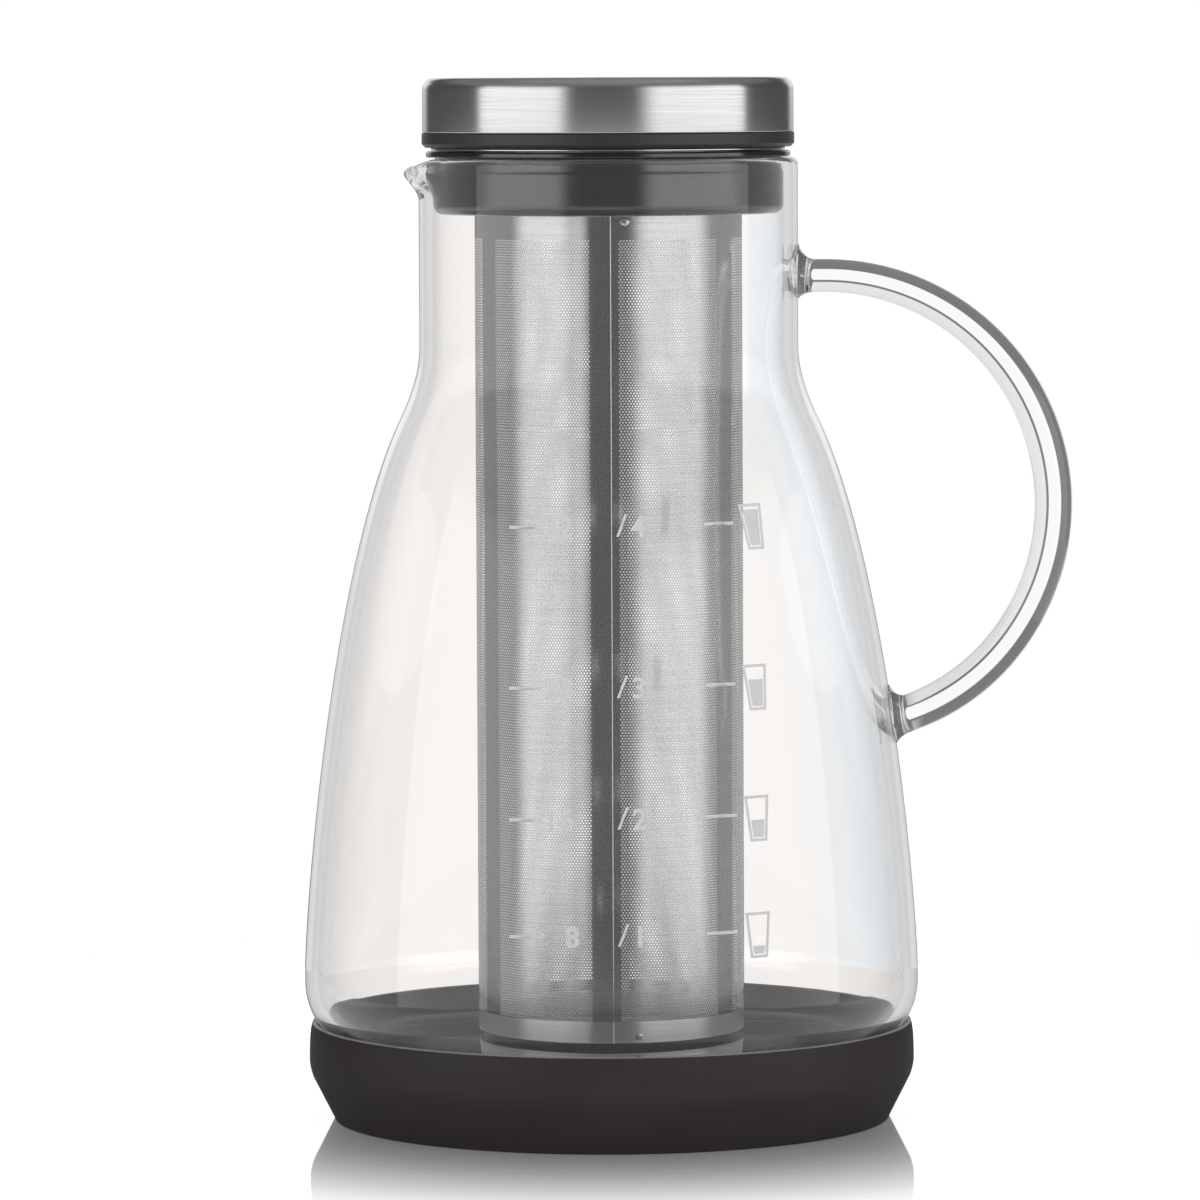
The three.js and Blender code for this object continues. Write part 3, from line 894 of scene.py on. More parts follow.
def pierced_finish(name, paint, sizes, foot, top, painted_glow):
    """Satin steel sheet with staggered holes in panels between plain ribs, and an even painted glow of
    the given strength.
    """
    board = new_board(name)
    spot = board.place()
    x, y, z = board.split(spot)
    around = board.math("ARCTAN2", x, -y)
    arc_length = around * sizes.radius
    row = sizes.pitch * math.sqrt(3)

    def hole(shift):
        """Distance to the nearest hole of one of the two grids that make the stagger."""
        across = (board.math("FRACT", arc_length / sizes.pitch + shift) - 0.5) * sizes.pitch
        up = (board.math("FRACT", z / row + shift) - 0.5) * row
        return board.hypot(across, up)

    gap = board.math("MINIMUM", hole(0.25), hole(0.75))
    panel_part = board.math("FRACT", (around + sizes.rib_turn) / sizes.rib_angle + 0.5) - 0.5
    panel = abs(panel_part * (sizes.rib_angle * sizes.radius)) > sizes.rib / 2
    band = (z > foot + sizes.plain_foot) * (z < top)
    pierced = (gap < sizes.hole) * panel * band
    rolled = board.lines(x, y, z, along=45.0, across=4200.0, detail=3.0, roughness=0.6)
    lines = board.ramp(rolled, low=0.3, high=0.7)
    smear = board.noise(spot, scale=60.0, detail=3.0)
    duller = dimmed(paint.sheet, 0.85)
    return board.surface({
        "Base Color": board.blend(lines * 0.7 + smear * 0.3, duller, paint.sheet),
        "Metallic": 1.0,
        "Roughness": 0.13 + smear * 0.06 + (1 - lines) * 0.04,
        # Painted glow: the sheet gives off a constant light at the strength passed in.
        "Emission Color": WHITE,
        "Emission Strength": painted_glow,
        "Alpha": 1 - pierced,
        "Normal": board.bump(lines, distance=0.005 * MM, strength=0.5),
    })


def ink_finish(name, paint, painted_glow):
    """Pale enamel print with an uneven sheen and a painted glow standing in for light passing through
    it.
    """
    board = new_board(name)
    mottle = board.noise(board.place(), scale=1400.0)
    return board.surface({
        "Base Color": board.blend(mottle, dimmed(paint.ink, 0.82), paint.ink),
        "Roughness": 0.5 + mottle * 0.2,
        # Painted glow: the print gives off a constant light of the given strength.
        "Emission Color": paint.ink,
        "Emission Strength": painted_glow,
        "Normal": board.bump(mottle, distance=0.01 * MM, strength=0.4),
    })


# Pieces
class PITCHER_OT_boot(bpy.types.Operator):
    """Builds the silicone boot round the carafe's foot"""

    bl_idname = "pitcher.boot"
    bl_label = "Silicone boot"

    def execute(self, context):
        sizes = context.scene.pitcher_boot
        paint = context.scene.pitcher_finishes
        seat = moved(carafe_side(context.scene.pitcher_carafe), sizes.clearance)
        edge_drop = 0.4 * MM
        slope_steps = 8
        lip = sizes.widest - sizes.lip_draw
        inner = radius_at(seat, sizes.height - edge_drop)
        foot = sizes.widest - sizes.foot_draw
        shoulder = sizes.height - sizes.lip_depth
        waist = (sizes.widest - sizes.waist_draw, sizes.waist_height)
        widest = (sizes.widest, sizes.widest_height)
        lip_round = (lip - inner) / 2
        outer = straight((foot, sizes.foot_round), waist, slope_steps)
        outer += bezier([waist, (sizes.widest, sizes.widest_height - sizes.belly), widest],
                        CORNER_STEPS)[1:]
        outer += bezier([widest, (sizes.widest, shoulder), (lip, sizes.height - lip_round)],
                        CURVE_STEPS)[1:]
        edge = arc((lip - lip_round, sizes.height - lip_round), lip_round, 0, math.pi,
                   2 * CORNER_STEPS)
        cavity_top = sizes.height - 1.5 * lip_round
        cavity = [point for point in seat if point[1] < cavity_top][::-1]
        foot_edge = arc((foot - sizes.foot_round, sizes.foot_round), sizes.foot_round,
                        -QUARTER, 0, CORNER_STEPS)[:-1]
        outline = grip_rings(sizes, foot) + foot_edge + outer + edge[1:] + cavity
        outline.append((0.0, cavity[-1][1]))
        finish = silicone_finish("boot_silicone", paint.boot, paint.boot_worn, roughness=0.5)
        # Painted highlight: the lip's rounded top gets a pale colour in place of the light it catches.
        lip_highlight = silicone_finish("boot_lip", paint.boot_lip, paint.boot_worn, roughness=0.3)
        boot = place("boot", turned("boot", outline), finish, "base", ["base_boot"])
        lip_highlight_foot = sizes.height - 0.6 * lip_round
        repaint(boot.data, lip_highlight, lambda polygon: polygon.center.z > lip_highlight_foot)
        return {"FINISHED"}


def grip_rings(sizes, foot):
    """Underside of the boot from its middle outwards, with rings that grip the table."""
    outline = [(0.0, sizes.groove)]
    half = sizes.ring_width / 2
    half_root = half + sizes.ring_draft
    for ring in range(GRIP_RINGS):
        middle = foot - sizes.ring_inset + ring * sizes.ring_spacing
        outline += soften([
            (middle - half_root, sizes.groove, sizes.ring_round),
            (middle - half, 0.0, sizes.ring_round),
            (middle + half, 0.0, sizes.ring_round),
            (middle + half_root, sizes.groove, sizes.ring_round),
        ])[CORNER_STEPS // 2:-CORNER_STEPS // 2]
    return outline


class PITCHER_OT_carafe(bpy.types.Operator):
    """Builds the glass carafe with its pouring lip and fused handle"""

    bl_idname = "pitcher.carafe"
    bl_label = "Glass carafe"

    def execute(self, context):
        sizes = context.scene.pitcher_carafe
        outside = carafe_outside(sizes)
        body = turned("glass", carafe_outline(sizes), lip_drawer(sizes), handle_side_angles())
        rod = handle_mesh(sizes, context.scene.pitcher_handle, outside)
        mesh = fused("carafe_glass", body, rod)
        finish = glass_finish(context.scene.pitcher_finishes)
        place("carafe_glass", mesh, finish, "carafe", ["carafe_body", "handle"])
        return {"FINISHED"}


class PITCHER_OT_scale(bpy.types.Operator):
    """Prints the measuring scale on the front of the glass"""

    bl_idname = "pitcher.scale"
    bl_label = "Printed scale"

    def execute(self, context):
        sizes = context.scene.pitcher_scale
        paint = context.scene.pitcher_finishes
        outside = carafe_outside(context.scene.pitcher_carafe)
        parts = []
        for servings, rise in enumerate((0.0, sizes.second, sizes.third, sizes.fourth), start=1):
            for part, left in scale_row(sizes, servings):
                wrap(part, sizes, outside, left, sizes.first + rise)
                parts.append(part)
        mesh = joined("printed_scale", parts)
        # Painted glow on both sides of the print. The back glows strongly, which lightens the print's
        # mirror image in the filter's steel.
        front = ink_finish("printed_ink", paint, painted_glow=0.14)
        back = ink_finish("printed_ink_back_glow", paint, painted_glow=0.9)
        place("printed_scale", mesh, front, "carafe")
        repaint(mesh, back, faces_axis)
        return {"FINISHED"}


def wrap(mesh, sizes, outside, left, height):
    """Bends a flat mesh onto the glass, right of the front line and at a height."""
    for vertex in mesh.vertices:
        x, y, z = vertex.co
        up = height + y + (left + x) * math.tan(sizes.slope)
        radius = radius_at(outside, up) + sizes.ink + z
        angle = (left + x) / radius_at(outside, height)
        vertex.co = (radius * math.sin(angle), -radius * math.cos(angle), up)


def scale_row(sizes, servings):
    """Flat meshes of one row of the scale, each with its place right of the front line."""
    ounces = 8 * servings
    half = sizes.stroke / 2
    slash_wide = 1.6 * half
    slash_lean = 1.7 * MM
    slash_low, slash_high = -1.9 * MM, 2.3 * MM
    slash = [(0.0, slash_low), (slash_wide, slash_low),
             (slash_lean + slash_wide, slash_high), (slash_lean, slash_high)]
    ounces_left = -9.0 * MM if ounces < 10 else -13.0 * MM
    return [
        (plate(sizes, [tick(6.6 * MM, half)]), -20.0 * MM),
        (digits(sizes, str(ounces)), ounces_left),
        (plate(sizes, [slash]), 1.2 * MM),
        (digits(sizes, str(servings)), 4.1 * MM),
        (plate(sizes, [tick(6.3 * MM, half)]), 18.7 * MM),
        (drinking_glass(sizes, servings), 26.8 * MM),
    ]


def tick(reach, half):
    """Outline of a short line, cut fine enough to bend round the glass."""
    cuts = 8
    lower = [(reach * i / cuts, -half) for i in range(cuts + 1)]
    return lower + [(x, half) for x, _ in reversed(lower)]


def drinking_glass(sizes, servings):
    """Sign of a straight drinking glass that is filled by quarters."""
    tall = sizes.glass
    wide = 0.62 * tall
    taper = 0.1 * tall
    line = 0.9 * sizes.stroke
    fill_inset = 1.4 * line
    low = -0.6 * tall

    def wall(height, inset):
        """Left and right of the glass at a height, moved inwards."""
        slant = taper * (1 - (height - low) / tall)
        return slant + inset, wide - slant - inset

    def loop(bottom, top, inset):
        """Outline between two heights."""
        cuts = 6
        left_low, right_low = wall(bottom, inset)
        left_high, right_high = wall(top, inset)
        lower = straight((left_low, bottom), (right_low, bottom), cuts)
        return lower + straight((right_high, top), (left_high, top), cuts)

    room = tall - 3 * line
    fill_top = low + line + room * servings / 4
    outer = loop(low, low + tall, 0.0)
    inner = loop(low + line, low + tall - line, line)[::-1]
    return plate(sizes, [outer, inner, loop(low + fill_inset, fill_top, fill_inset)])


def plate(sizes, loops):
    """Thin flat mesh of filled outlines; an outline inside another is a hole."""
    curve = bpy.data.curves.new("print_outline", "CURVE")
    curve.dimensions = "2D"
    curve.fill_mode = "BOTH"
    curve.extrude = sizes.ink / 2
    for loop in loops:
        spline = curve.splines.new("POLY")
        spline.points.add(len(loop) - 1)
        for point, (x, y) in zip(spline.points, loop):
            point.co = (x, y, 0.0, 1.0)
        spline.use_cyclic_u = True
    return shown_mesh("print_part", bpy.data.objects.new("print_blank", curve))


def digits(sizes, text):
    """Thin flat mesh of plain digits, centred on their height."""
    digit_share = 0.7
    curve = bpy.data.curves.new("print_digits", "FONT")
    curve.body = text
    curve.size = sizes.digit / digit_share
    curve.offset = sizes.bold
    curve.extrude = sizes.ink / 2
    curve.space_character = 1.08
    mesh = shown_mesh("print_part", bpy.data.objects.new("print_blank", curve))
    mesh.transform(Matrix.Translation((0, -sizes.digit / 2, 0)))
    return mesh


class PITCHER_OT_seal(bpy.types.Operator):
    """Builds the silicone seal in the neck"""

    bl_idname = "pitcher.seal"
    bl_label = "Neck seal"

    def execute(self, context):
        sizes = context.scene.pitcher_seal
        paint = context.scene.pitcher_finishes
        foot = floor_of("neck_seal")
        top = top_of("neck_seal")
        flange = top - sizes.flange
        edge = radius_of("neck_seal")
        waist = sizes.plug - sizes.waist_draw
        outline = soften([
            (sizes.bore, foot, 0.4 * MM),
            (sizes.plug, foot, sizes.corner),
            (sizes.plug, flange - sizes.waist_low, 1.2 * MM),
            (waist, flange - sizes.waist_high, 0.8 * MM),
            (waist, flange, 0.3 * MM),
            (edge, flange, sizes.edge),
            (edge, top, sizes.edge),
            (sizes.bore, top, 0.3 * MM),
        ])
        finish = silicone_finish("seal_silicone", paint.seal, paint.seal, roughness=0.05, shine=1.0)
        place("neck_seal_ring", turned("neck_seal_ring", outline), finish, "seal",
              ["neck_seal"])
        return {"FINISHED"}


class PITCHER_OT_filter(bpy.types.Operator):
    """Builds the rolled and pierced filter with its rim, its cup and its weld spots"""

    bl_idname = "pitcher.filter"
    bl_label = "Steel filter"

    def execute(self, context):
        sizes = context.scene.pitcher_filter
        paint = context.scene.pitcher_finishes
        foot = floor_of("filter_tube")
        top = top_of("filter_tube")
        seal_foot = floor_of("neck_seal")
        pierced_foot = foot + sizes.plain_foot
        pierced_top = seal_foot - sizes.plain_top
        pierced = pierced_finish("pierced_steel", paint, sizes, foot, pierced_top, painted_glow=0.0)
        # Painted glow: the inside of the pierced sheet gives off a constant light, so the holes look
        # lit from behind.
        inside = pierced_finish("pierced_inside_glow", paint, sizes, foot, pierced_top, painted_glow=0.26)
        # Painted brightness: the plain foot band is brushed round the axis and uses a lighter copy of
        # the steel.
        band = brushed_finish("foot_steel", paint.foot_steel, roughness=0.28, anisotropy=0.85)
        plain = brushed_finish("plain_steel", paint.steel, roughness=0.18, anisotropy=0.3)
        mesh = rolled_sheet(sizes, foot, top)
        place("filter_sheet", mesh, pierced, "filter", ["filter_tube"])
        repaint(mesh, band, lambda polygon: polygon.center.z < pierced_foot)
        repaint(mesh, inside, lambda polygon: polygon.center.z > pierced_foot and faces_axis(polygon))
        place("filter_rim_ring", rim_mesh(sizes), plain, "filter", ["filter_rim"])
        place("filter_cup", cup_mesh(sizes), plain, "filter", ["filter_base_cup"])
        welds = weld_mesh(sizes, foot, seal_foot)
        place("filter_welds", welds, plain, "filter")
        return {"FINISHED"}


def rolled_sheet(sizes, foot, top):
    """Sheet rolled into a tube, with its outer end lapped over its inner end at the front."""
    edge_steps = 8
    height_steps = 8
    edge_depth = 0.8 * sizes.sheet
    start = sizes.lap_edge - QUARTER - sizes.lap
    sweep = 2 * math.pi + sizes.lap
    round_angle = sizes.lap_round / sizes.radius
    angles = [start + (sweep - round_angle) * i / SHEET_STEPS for i in range(SHEET_STEPS + 1)]
    angles += [angles[-1] + round_angle * (i + 1) / edge_steps for i in range(edge_steps)]
    faces_out, faces_in = [], []
    for angle in angles:
        to_end = angles[-1] - angle
        climbed = eased((sizes.lap + sizes.lap_rise - to_end) / sizes.lap_rise)
        rounding = max(1 - to_end / round_angle, 0.0)
        outer = sizes.radius + (sizes.sheet + sizes.lap_gap) * climbed
        inner = outer - sizes.sheet
        outer -= edge_depth * (1 - math.sqrt(1 - rounding * rounding))
        faces_out.append((outer * math.cos(angle), outer * math.sin(angle)))
        faces_in.append((inner * math.cos(angle), inner * math.sin(angle)))
    plan = faces_out + faces_in[::-1]
    pierced = straight((0, foot + sizes.plain_foot), (0, top), height_steps)
    heights = [foot, *(height for _, height in pierced)]
    count = len(plan)
    upper = (len(heights) - 1) * count
    ends = []
    for i in range(len(angles) - 1):
        opposite = count - 1 - i
        ends.append((i, opposite, opposite - 1, i + 1))
        ends.append((upper + i, upper + i + 1, upper + opposite - 1, upper + opposite))
    rings = [[(x, y, height) for x, y in plan] for height in heights]
    return skin("filter_sheet", rings, more_faces=ends)


def rim_mesh(sizes):
    """Flat steel rim with a sleeve that is welded inside the tube."""
    top = top_of("filter_rim")
    foot = floor_of("filter_rim")
    flange = top - sizes.plate
    edge = radius_of("filter_rim")
    outer = sizes.radius - sizes.sheet - sizes.fit
    inner = outer - sizes.plate
    return turned("filter_rim_ring", soften([
        (inner, foot, 0.15 * MM),
        (outer, foot, 0.15 * MM),
        (outer, flange, 0.1 * MM),
        (edge, flange, 0.2 * MM),
        (edge, top, 0.2 * MM),
        (inner, top, 0.9 * MM),
    ]))


def cup_mesh(sizes):
    """Pressed steel cup that closes the tube, with a raised ring in its floor."""
    foot = floor_of("filter_base_cup")
    top = top_of("filter_base_cup")
    outer = sizes.radius - sizes.sheet - sizes.fit
    inner = outer - sizes.plate
    floor = foot + sizes.plate
    ring = sizes.cup_ring * outer
    middle = ring - sizes.cup_slope
    fold = 1.0 * MM
    fold_shift = 0.2 * MM
    return turned("filter_cup", soften([
        (0.0, foot + sizes.cup_lift, 0),
        (middle - fold_shift, foot + sizes.cup_lift, fold),
        (ring - fold_shift, foot, fold),
        (outer, foot, 1.1 * MM),
        (outer, top, 0.1 * MM),
        (inner, top, 0.1 * MM),
        (inner, floor, 0.8 * MM),
        (ring, floor, fold),
        (middle, floor + sizes.cup_lift, fold),
        (0.0, floor + sizes.cup_lift, 0),
    ]))


def weld_mesh(sizes, foot, seal_foot):
    """Round weld spots that hold the lapped sheet, the rim and the cup together."""
    spots = [(math.radians(side), seal_foot - sizes.weld_drop) for side in TOP_WELDS]
    spots += [(math.radians(side), foot + sizes.weld_rise) for side in FOOT_WELDS]
    sides = 20
    steps = 4
    edge_sink, back_sink = 0.06 * MM, 0.2 * MM
    welds = []
    for angle, height in spots:
        rings = [[weld_point(angle, height, 0.0, sizes.radius - back_sink, 0, 1)]]
        for step in range(steps + 1):
            slant = QUARTER * step / steps
            radius = sizes.weld * math.cos(slant)
            rise = sizes.radius - edge_sink + sizes.weld_dome * math.sin(slant)
            count = 1 if step == steps else sides
            rings.append([weld_point(angle, height, radius, rise, i, count) for i in range(count)])
        welds.append(skin("weld", rings))
    return joined("filter_welds", welds)


def weld_point(angle, height, radius, rise, index, count):
    """Point of a weld spot's ring, on the tube at an angle right of the front line."""
    round_spot = 2 * math.pi * index / count
    along = radius * math.cos(round_spot)
    up = radius * math.sin(round_spot)
    out = Vector((math.sin(angle), -math.cos(angle), 0))
    right = Vector((math.cos(angle), math.sin(angle), 0))
    return tuple(out * rise + right * along + Vector((0, 0, height + up)))


class PITCHER_OT_lid(bpy.types.Operator):
    """Builds the lid's brushed cap, its moulded core and its gasket"""

    bl_idname = "pitcher.lid"
    bl_label = "Lid"

    def execute(self, context):
        sizes = context.scene.pitcher_lid
        paint = context.scene.pitcher_finishes
        brushed = brushed_finish("brushed_steel", paint.steel, roughness=0.2, anisotropy=0.75)
        place("lid_steel_cap", cap_mesh(sizes), brushed, "lid", ["lid_cap"])
        place("lid_moulding", core_mesh(sizes), plastic_finish(paint), "lid",
              ["lid_core"])
        gasket = silicone_finish("gasket_silicone", paint.seal, paint.boot_worn, roughness=0.3)
        place("lid_gasket_ring", gasket_mesh(sizes), gasket, "lid", ["lid_gasket"])
        return {"FINISHED"}


def cap_mesh(sizes):
    """Drawn steel cap with a rounded top edge and a rounded lower edge."""
    foot = floor_of("lid_cap")
    top = top_of("lid_cap")
    outer = radius_of("lid_cap")
    inner = outer - sizes.sheet
    return turned("lid_steel_cap", soften([
        (0.0, top - sizes.sheet, 0),
        (inner, top - sizes.sheet, sizes.corner - sizes.sheet),
        (inner, foot, 0.2 * MM),
        (outer, foot, 0.28 * MM),
        (outer, top, sizes.corner),
        (0.0, top, 0),
    ]))


def core_mesh(sizes):
    """Moulded core: a plug with a gasket groove, the collar and the ring inside the cap."""
    foot = floor_of("lid_core")
    top = top_of("lid_core")
    edge = radius_of("lid_core")
    collar_top = floor_of("lid_cap") - sizes.cap_play
    collar_foot = collar_top - sizes.collar
    gasket_top = top_of("lid_gasket") + sizes.groove_play
    gasket_foot = floor_of("lid_gasket") - sizes.groove_play
    groove = sizes.plug - sizes.groove
    ring = radius_of("lid_cap") - sizes.ring_inset
    bore = groove - sizes.wall
    dish_edge, dish_foot = 0.66 * sizes.plug, 0.62 * sizes.plug
    crisp, small, soft = 0.15 * MM, 0.2 * MM, 0.3 * MM
    return turned("lid_moulding", soften([
        (0.0, foot + sizes.dish, 0),
        (dish_foot, foot + sizes.dish, 0.5 * MM),
        (dish_edge, foot, 0.5 * MM),
        (sizes.plug, foot, 0.9 * MM),
        (sizes.plug, gasket_foot, crisp),
        (groove, gasket_foot, crisp),
        (groove, gasket_top, crisp),
        (sizes.plug, gasket_top, crisp),
        (sizes.plug, collar_foot, 0.4 * MM),
        (edge - sizes.chamfer, collar_foot, soft),
        (edge, collar_foot + sizes.chamfer, soft),
        (edge, collar_top, 0.25 * MM),
        (ring, collar_top, small),
        (ring, top, small),
        (ring - sizes.wall, top, small),
        (ring - sizes.wall, collar_top, small),
        (bore, collar_top, soft),
        (bore, foot + sizes.wall, 0.5 * MM),
        (0.0, foot + sizes.wall, 0),
    ]))


def gasket_mesh(sizes):
    """Silicone ring with two sealing lips."""
    foot = floor_of("lid_gasket")
    top = top_of("lid_gasket")
    outer = radius_of("lid_gasket")
    inner = outer - sizes.gasket
    face = outer - 0.4 * MM
    middle = (foot + top) / 2
    soft = 0.3 * MM
    return turned("lid_gasket_ring", soften([
        (inner, foot, 0.2 * MM),
        (face, foot, soft),
        (outer, foot + sizes.gasket_lip, soft),
        (outer - sizes.gasket_lip, middle, soft),
        (outer, top - sizes.gasket_lip, soft),
        (face, top, soft),
        (inner, top, 0.2 * MM),
    ]))


# Stage
class PITCHER_OT_stage(bpy.types.Operator):
    """Sets up the white table, the studio light and the camera"""

    bl_idname = "pitcher.stage"
    bl_label = "Stage"

    def execute(self, context):
        lights = context.scene.pitcher_stage
        half = lights.table
        corners = [(-half, -half, 0), (half, -half, 0), (half, half, 0), (-half, half, 0)]
        table = new_mesh("table", corners, [(0, 1, 2, 3)])
        table.materials.append(table_finish(lights))
        floor = bpy.data.objects.new("table", table)
        context.scene.collection.objects.link(floor)
        context.scene.world = studio_world(lights)
        context.scene.view_settings.view_transform = "Standard"
        bounces = context.scene.cycles
        bounces.max_bounces = 28
        bounces.glossy_bounces = 20
        bounces.transmission_bounces = 28
        bounces.transparent_max_bounces = 24
        add_camera(context.scene, lights)
        return {"FINISHED"}


class Sight:
    """How a sight line has come to the stage, as terms that are 1 or 0."""

    def __init__(self, board):
        path = board.node("LightPath")
        self.faces = path.output("Transmission Depth")
        self.mirrors = path.output("Glossy Depth")
        self.mirrored = self.mirrors > 0.5
        smooth = path.output("Diffuse Depth") < 0.5
        through = path.output("Is Transmission Ray") * smooth * (1 - self.mirrored)
        # Straight from the camera
        self.bare = path.output("Is Camera Ray")
        # Through one glass part, such as the handle
        self.one = through * (self.faces < 2.5)
        # Through two walls of the carafe
        self.two = through - self.one
        # Mirrored inside a wall
        self.in_wall = smooth * self.mirrored * (self.faces > 0.5) * (self.faces < 2.5)

    def in_glass(self):
        """Mirrored by what stands behind the glass."""
        return self.mirrored * (self.faces > 2.5)

    def outside(self):
        """Mirrored by what stands in front of the glass."""
        return self.mirrored * (self.faces < 0.5)

    def again(self):
        """Mirrored more than once, near the outside."""
        return (self.mirrors > 1.5) * (self.faces < 4.5)


class Ways:
    """Directions in the studio; its calls take angles in degrees."""

    def __init__(self, board):
        tilt = math.radians(4.1)
        lean = math.radians(20)
        x, y, z = board.split(board.node("TexCoord", output="Generated"))
        self.board = board
        self.swing = board.math("ARCSINE", x)
        self.around = board.math("ARCTAN2", x, -y)
        self.rise = board.math("ARCSINE", z)
        self.ahead = y * math.cos(tilt) - z * math.sin(tilt)
        self.aside = x * math.cos(lean) + z * math.sin(lean)

    def step(self, value, low, high):
        """A soft step between two angles."""
        return self.board.ramp(value, math.radians(low), math.radians(high))

    def between(self, value, start, end):
        """1 from a soft start to a soft end, each given by two angles."""
        return self.step(value, *start) * (1 - self.step(value, *end))

    def within(self, inner, outer):
        """1 up to an angle from straight ahead, 0 past another."""
        cosines = [math.cos(math.radians(angle)) for angle in (outer, inner)]
        return self.board.ramp(self.ahead, *cosines)


def table_finish(lights):
    """White table that mirrors the boot near its foot and melts into the white background."""
    board = new_board("white_table")
    sight = Sight(board)
    x, y, _ = board.split(board.place())
    radius = board.hypot(x, y)
    facing = board.node("LayerWeight", None, {"Blend": 0.5}, output="Facing")
    matte = board.node("BsdfDiffuse", None, {"Color": (0.86, 0.86, 0.86)})
    farther = board.ramp(radius, low=0.1, high=0.22)
    glow = lights.table_near + (1 - lights.table_near) * farther
    pale = board.glow("Emission", sight.bare * glow, 1.0)
    white = board.node("AddShader", None, {0: matte, 1: pale})
    mirror = board.node("BsdfGlossy", None, {"Color": WHITE, "Roughness": 0.03})
    near = 1 - board.ramp(radius, low=0.055, high=0.168)
    near = near * board.ramp(facing, low=0.76, high=0.85) * lights.mirror
    bare = board.mix(near, white, mirror)
    right_end = board.ramp(x, low=0.075, high=0.1)
    shallow = board.ramp(facing, low=0.72, high=0.84)
    rod = board.most(right_end * lights.rod_table, shallow * lights.rod_side, lights.rod_dark)
    bent = board.glow("Emission", sight.one * rod + sight.in_wall * lights.wall_table, 1.0)
    far_level = lights.table_far * lights.through
    far = board.node("Emission", None, {"Color": lights.warm, "Strength": far_level})
    seen_in_glass = board.mix(sight.two, bent, far)
    table = board.mix(sight.one + sight.two + sight.in_wall, bare, seen_in_glass)
    board.node("OutputMaterial", None, {"Surface": table})
    return board.owner


def mirrored_level(board, lights, ways, sight):
    """Radiance of the studio in mirror images: two softboxes in front, a backdrop and a ceiling."""
    around = ways.around
    rise = ways.rise
    in_glass = sight.in_glass()
    outside = sight.outside()
    horizon = (-13, -10)
    right_start = (16, 32)
    crisp = ways.between(around, (-88, -86), (-33, -22)) + ways.between(around, right_start, (93, 95))
    faint = ways.between(around, (-93, -74), (-40, -18)) + ways.between(around, right_start, (80, 100))
    boxes = crisp * (1 - in_glass) + faint * in_glass
    risen = ways.step(rise, *horizon)
    box_rise = rise - (1 - sight.mirrored) * math.radians(27)
    lit = boxes * risen * (1 - ways.step(box_rise, 20, 27))
    back_rise = rise + outside * math.radians(30)
    behind = ways.step(abs(around), 150, 158) * risen * (1 - ways.step(back_rise, 40, 48))
    beside = ways.step(abs(around), 80, 100) * ways.between(rise, horizon, (38, 50))
    above = ways.step(rise, 52, 64)
    high = ways.step(rise, 24, 32) * (1 - above) * (1 - behind) * outside
    upward = ways.step(rise, -1, 4)
    middle = ways.within(7, 12)
    loss = in_glass * (0.7 + 0.28 * upward) + outside * (1 - upward) * (0.45 + 0.45 * middle)
    backdrop = lights.backdrop * (1 - loss)
    ceiling = lights.ceiling * (1 - lights.ceiling_loss * sight.mirrored)
    studio = (lights.dark + lit * (lights.softbox - lights.dark)
              + behind * (backdrop - lights.dark) + above * (ceiling - lights.dark)
              + (1 - risen) * (lights.below - lights.dark)
              + beside * (1 - behind) * (1 - lit) * in_glass * lights.beside + high * lights.high)
    return board.most(studio, sight.again() * lights.trapped)


def rod_level(board, lights, ways):
    """Radiance of the studio as the handle bends it: a bright middle, dark sides, bright rings."""
    right_wall = (1 - ways.within(17, 18.5)) * board.ramp(ways.aside, -0.03, 0.05)
    wide = ways.within(81, 84) * (1 - ways.within(60, 63))
    front = 1 - ways.within(104, 110)
    rings = board.most(wide, front) * lights.rod_side
    return board.most(ways.within(11.5, 14), right_wall * lights.rod_wall, rings, lights.rod_dark)


def studio_world(lights):
    """White surroundings for what shows past and through the glass, a dark studio for the rest."""
    board = Board(bpy.data.worlds.new("studio"))
    ways = Ways(board)
    sight = Sight(board)
    bright_ring = 0.35 * ways.within(36, 46)
    dark_middle = 0.15 * ways.within(4.5, 6)
    wall = lights.wall_dark + bright_ring - dark_middle
    studio = mirrored_level(board, lights, ways, sight) * (1 - sight.in_wall) + wall * sight.in_wall
    rod = rod_level(board, lights, ways)
    plain = studio * (1 - sight.bare - sight.one) + rod * sight.one + sight.bare
    bent = abs(ways.swing)
    middle = 1 - ways.step(bent, 4.4, 5.4)
    behind_glass = lights.through - 0.04 * middle + 0.07 * ways.step(bent, 7, 14)
    white = board.glow("Background", plain, lights.softbox)
    warm = board.glow("Background", behind_glass, lights.softbox, lights.warm)
    cool = board.glow("Background", behind_glass, lights.softbox, lights.cool)
    tinted = board.mix(ways.step(ways.swing, 2.5, 7), warm, cool)
    board.node("OutputWorld", None, {"Surface": board.mix(sight.two, white, tinted)})
    return board.owner


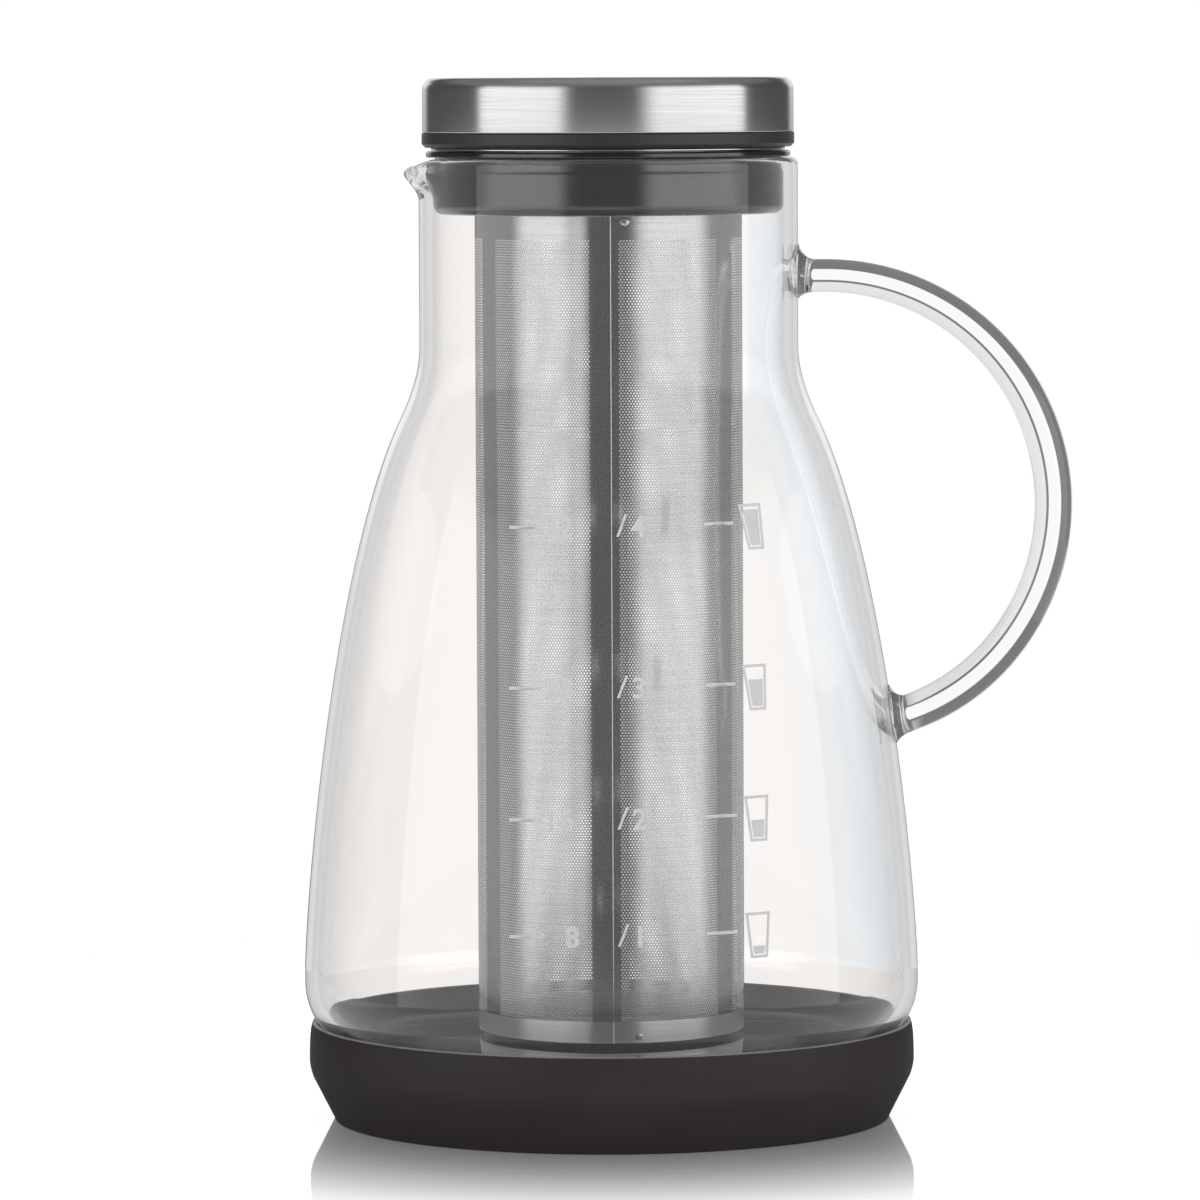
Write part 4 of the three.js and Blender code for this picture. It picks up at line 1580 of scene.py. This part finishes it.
def add_camera(scene, lights):
    """Long lens in front of the pitcher, a little above its rim."""
    data = bpy.data.cameras.new("camera")
    data.lens = lights.lens
    camera = bpy.data.objects.new("camera", data)
    scene.collection.objects.link(camera)
    camera.location = (-lights.aside, -lights.distance, lights.height)
    look = Vector((-lights.aside, 0, lights.aim)) - camera.location
    camera.rotation_mode = "QUATERNION"
    camera.rotation_quaternion = (look.to_track_quat("-Z", "Y")
                                  @ Quaternion((0, 0, 1), -lights.roll))
    scene.camera = camera


class VIEW3D_PT_pitcher(bpy.types.Panel):
    """Lists the pieces of the pitcher and their sizes"""

    bl_idname = "VIEW3D_PT_pitcher"
    bl_label = "Cold brew pitcher"
    bl_space_type = "VIEW_3D"
    bl_region_type = "UI"
    bl_category = "Pitcher"

    def draw(self, context):
        for operator in PIECES:
            self.layout.operator(operator.bl_idname)
        for attribute, group in GROUPS.items():
            box = self.layout.box()
            box.label(text=group.__doc__)
            for name in group.__annotations__:
                box.prop(getattr(context.scene, attribute), name)


GROUPS = {
    "pitcher_carafe": CarafeSizes,
    "pitcher_handle": HandleSizes,
    "pitcher_boot": BootSizes,
    "pitcher_seal": SealSizes,
    "pitcher_filter": FilterSizes,
    "pitcher_lid": LidSizes,
    "pitcher_scale": ScaleSizes,
    "pitcher_finishes": Finishes,
    "pitcher_stage": StageLights,
}
PIECES = (PITCHER_OT_stage, PITCHER_OT_boot, PITCHER_OT_carafe, PITCHER_OT_scale,
          PITCHER_OT_seal, PITCHER_OT_filter, PITCHER_OT_lid)


def register():
    for group in GROUPS.values():
        bpy.utils.register_class(group)
    for operator in PIECES:
        bpy.utils.register_class(operator)
    bpy.utils.register_class(VIEW3D_PT_pitcher)
    for attribute, group in GROUPS.items():
        setattr(bpy.types.Scene, attribute, PointerProperty(type=group))


def unregister():
    for attribute in GROUPS:
        delattr(bpy.types.Scene, attribute)
    bpy.utils.unregister_class(VIEW3D_PT_pitcher)
    for operator in reversed(PIECES):
        bpy.utils.unregister_class(operator)
    for group in reversed(GROUPS.values()):
        bpy.utils.unregister_class(group)


def main():
    register()
    bpy.ops.pitcher.stage()
    bpy.ops.pitcher.boot()
    bpy.ops.pitcher.carafe()
    bpy.ops.pitcher.scale()
    bpy.ops.pitcher.seal()
    bpy.ops.pitcher.filter()
    bpy.ops.pitcher.lid()


if __name__ == "__main__":
    main()
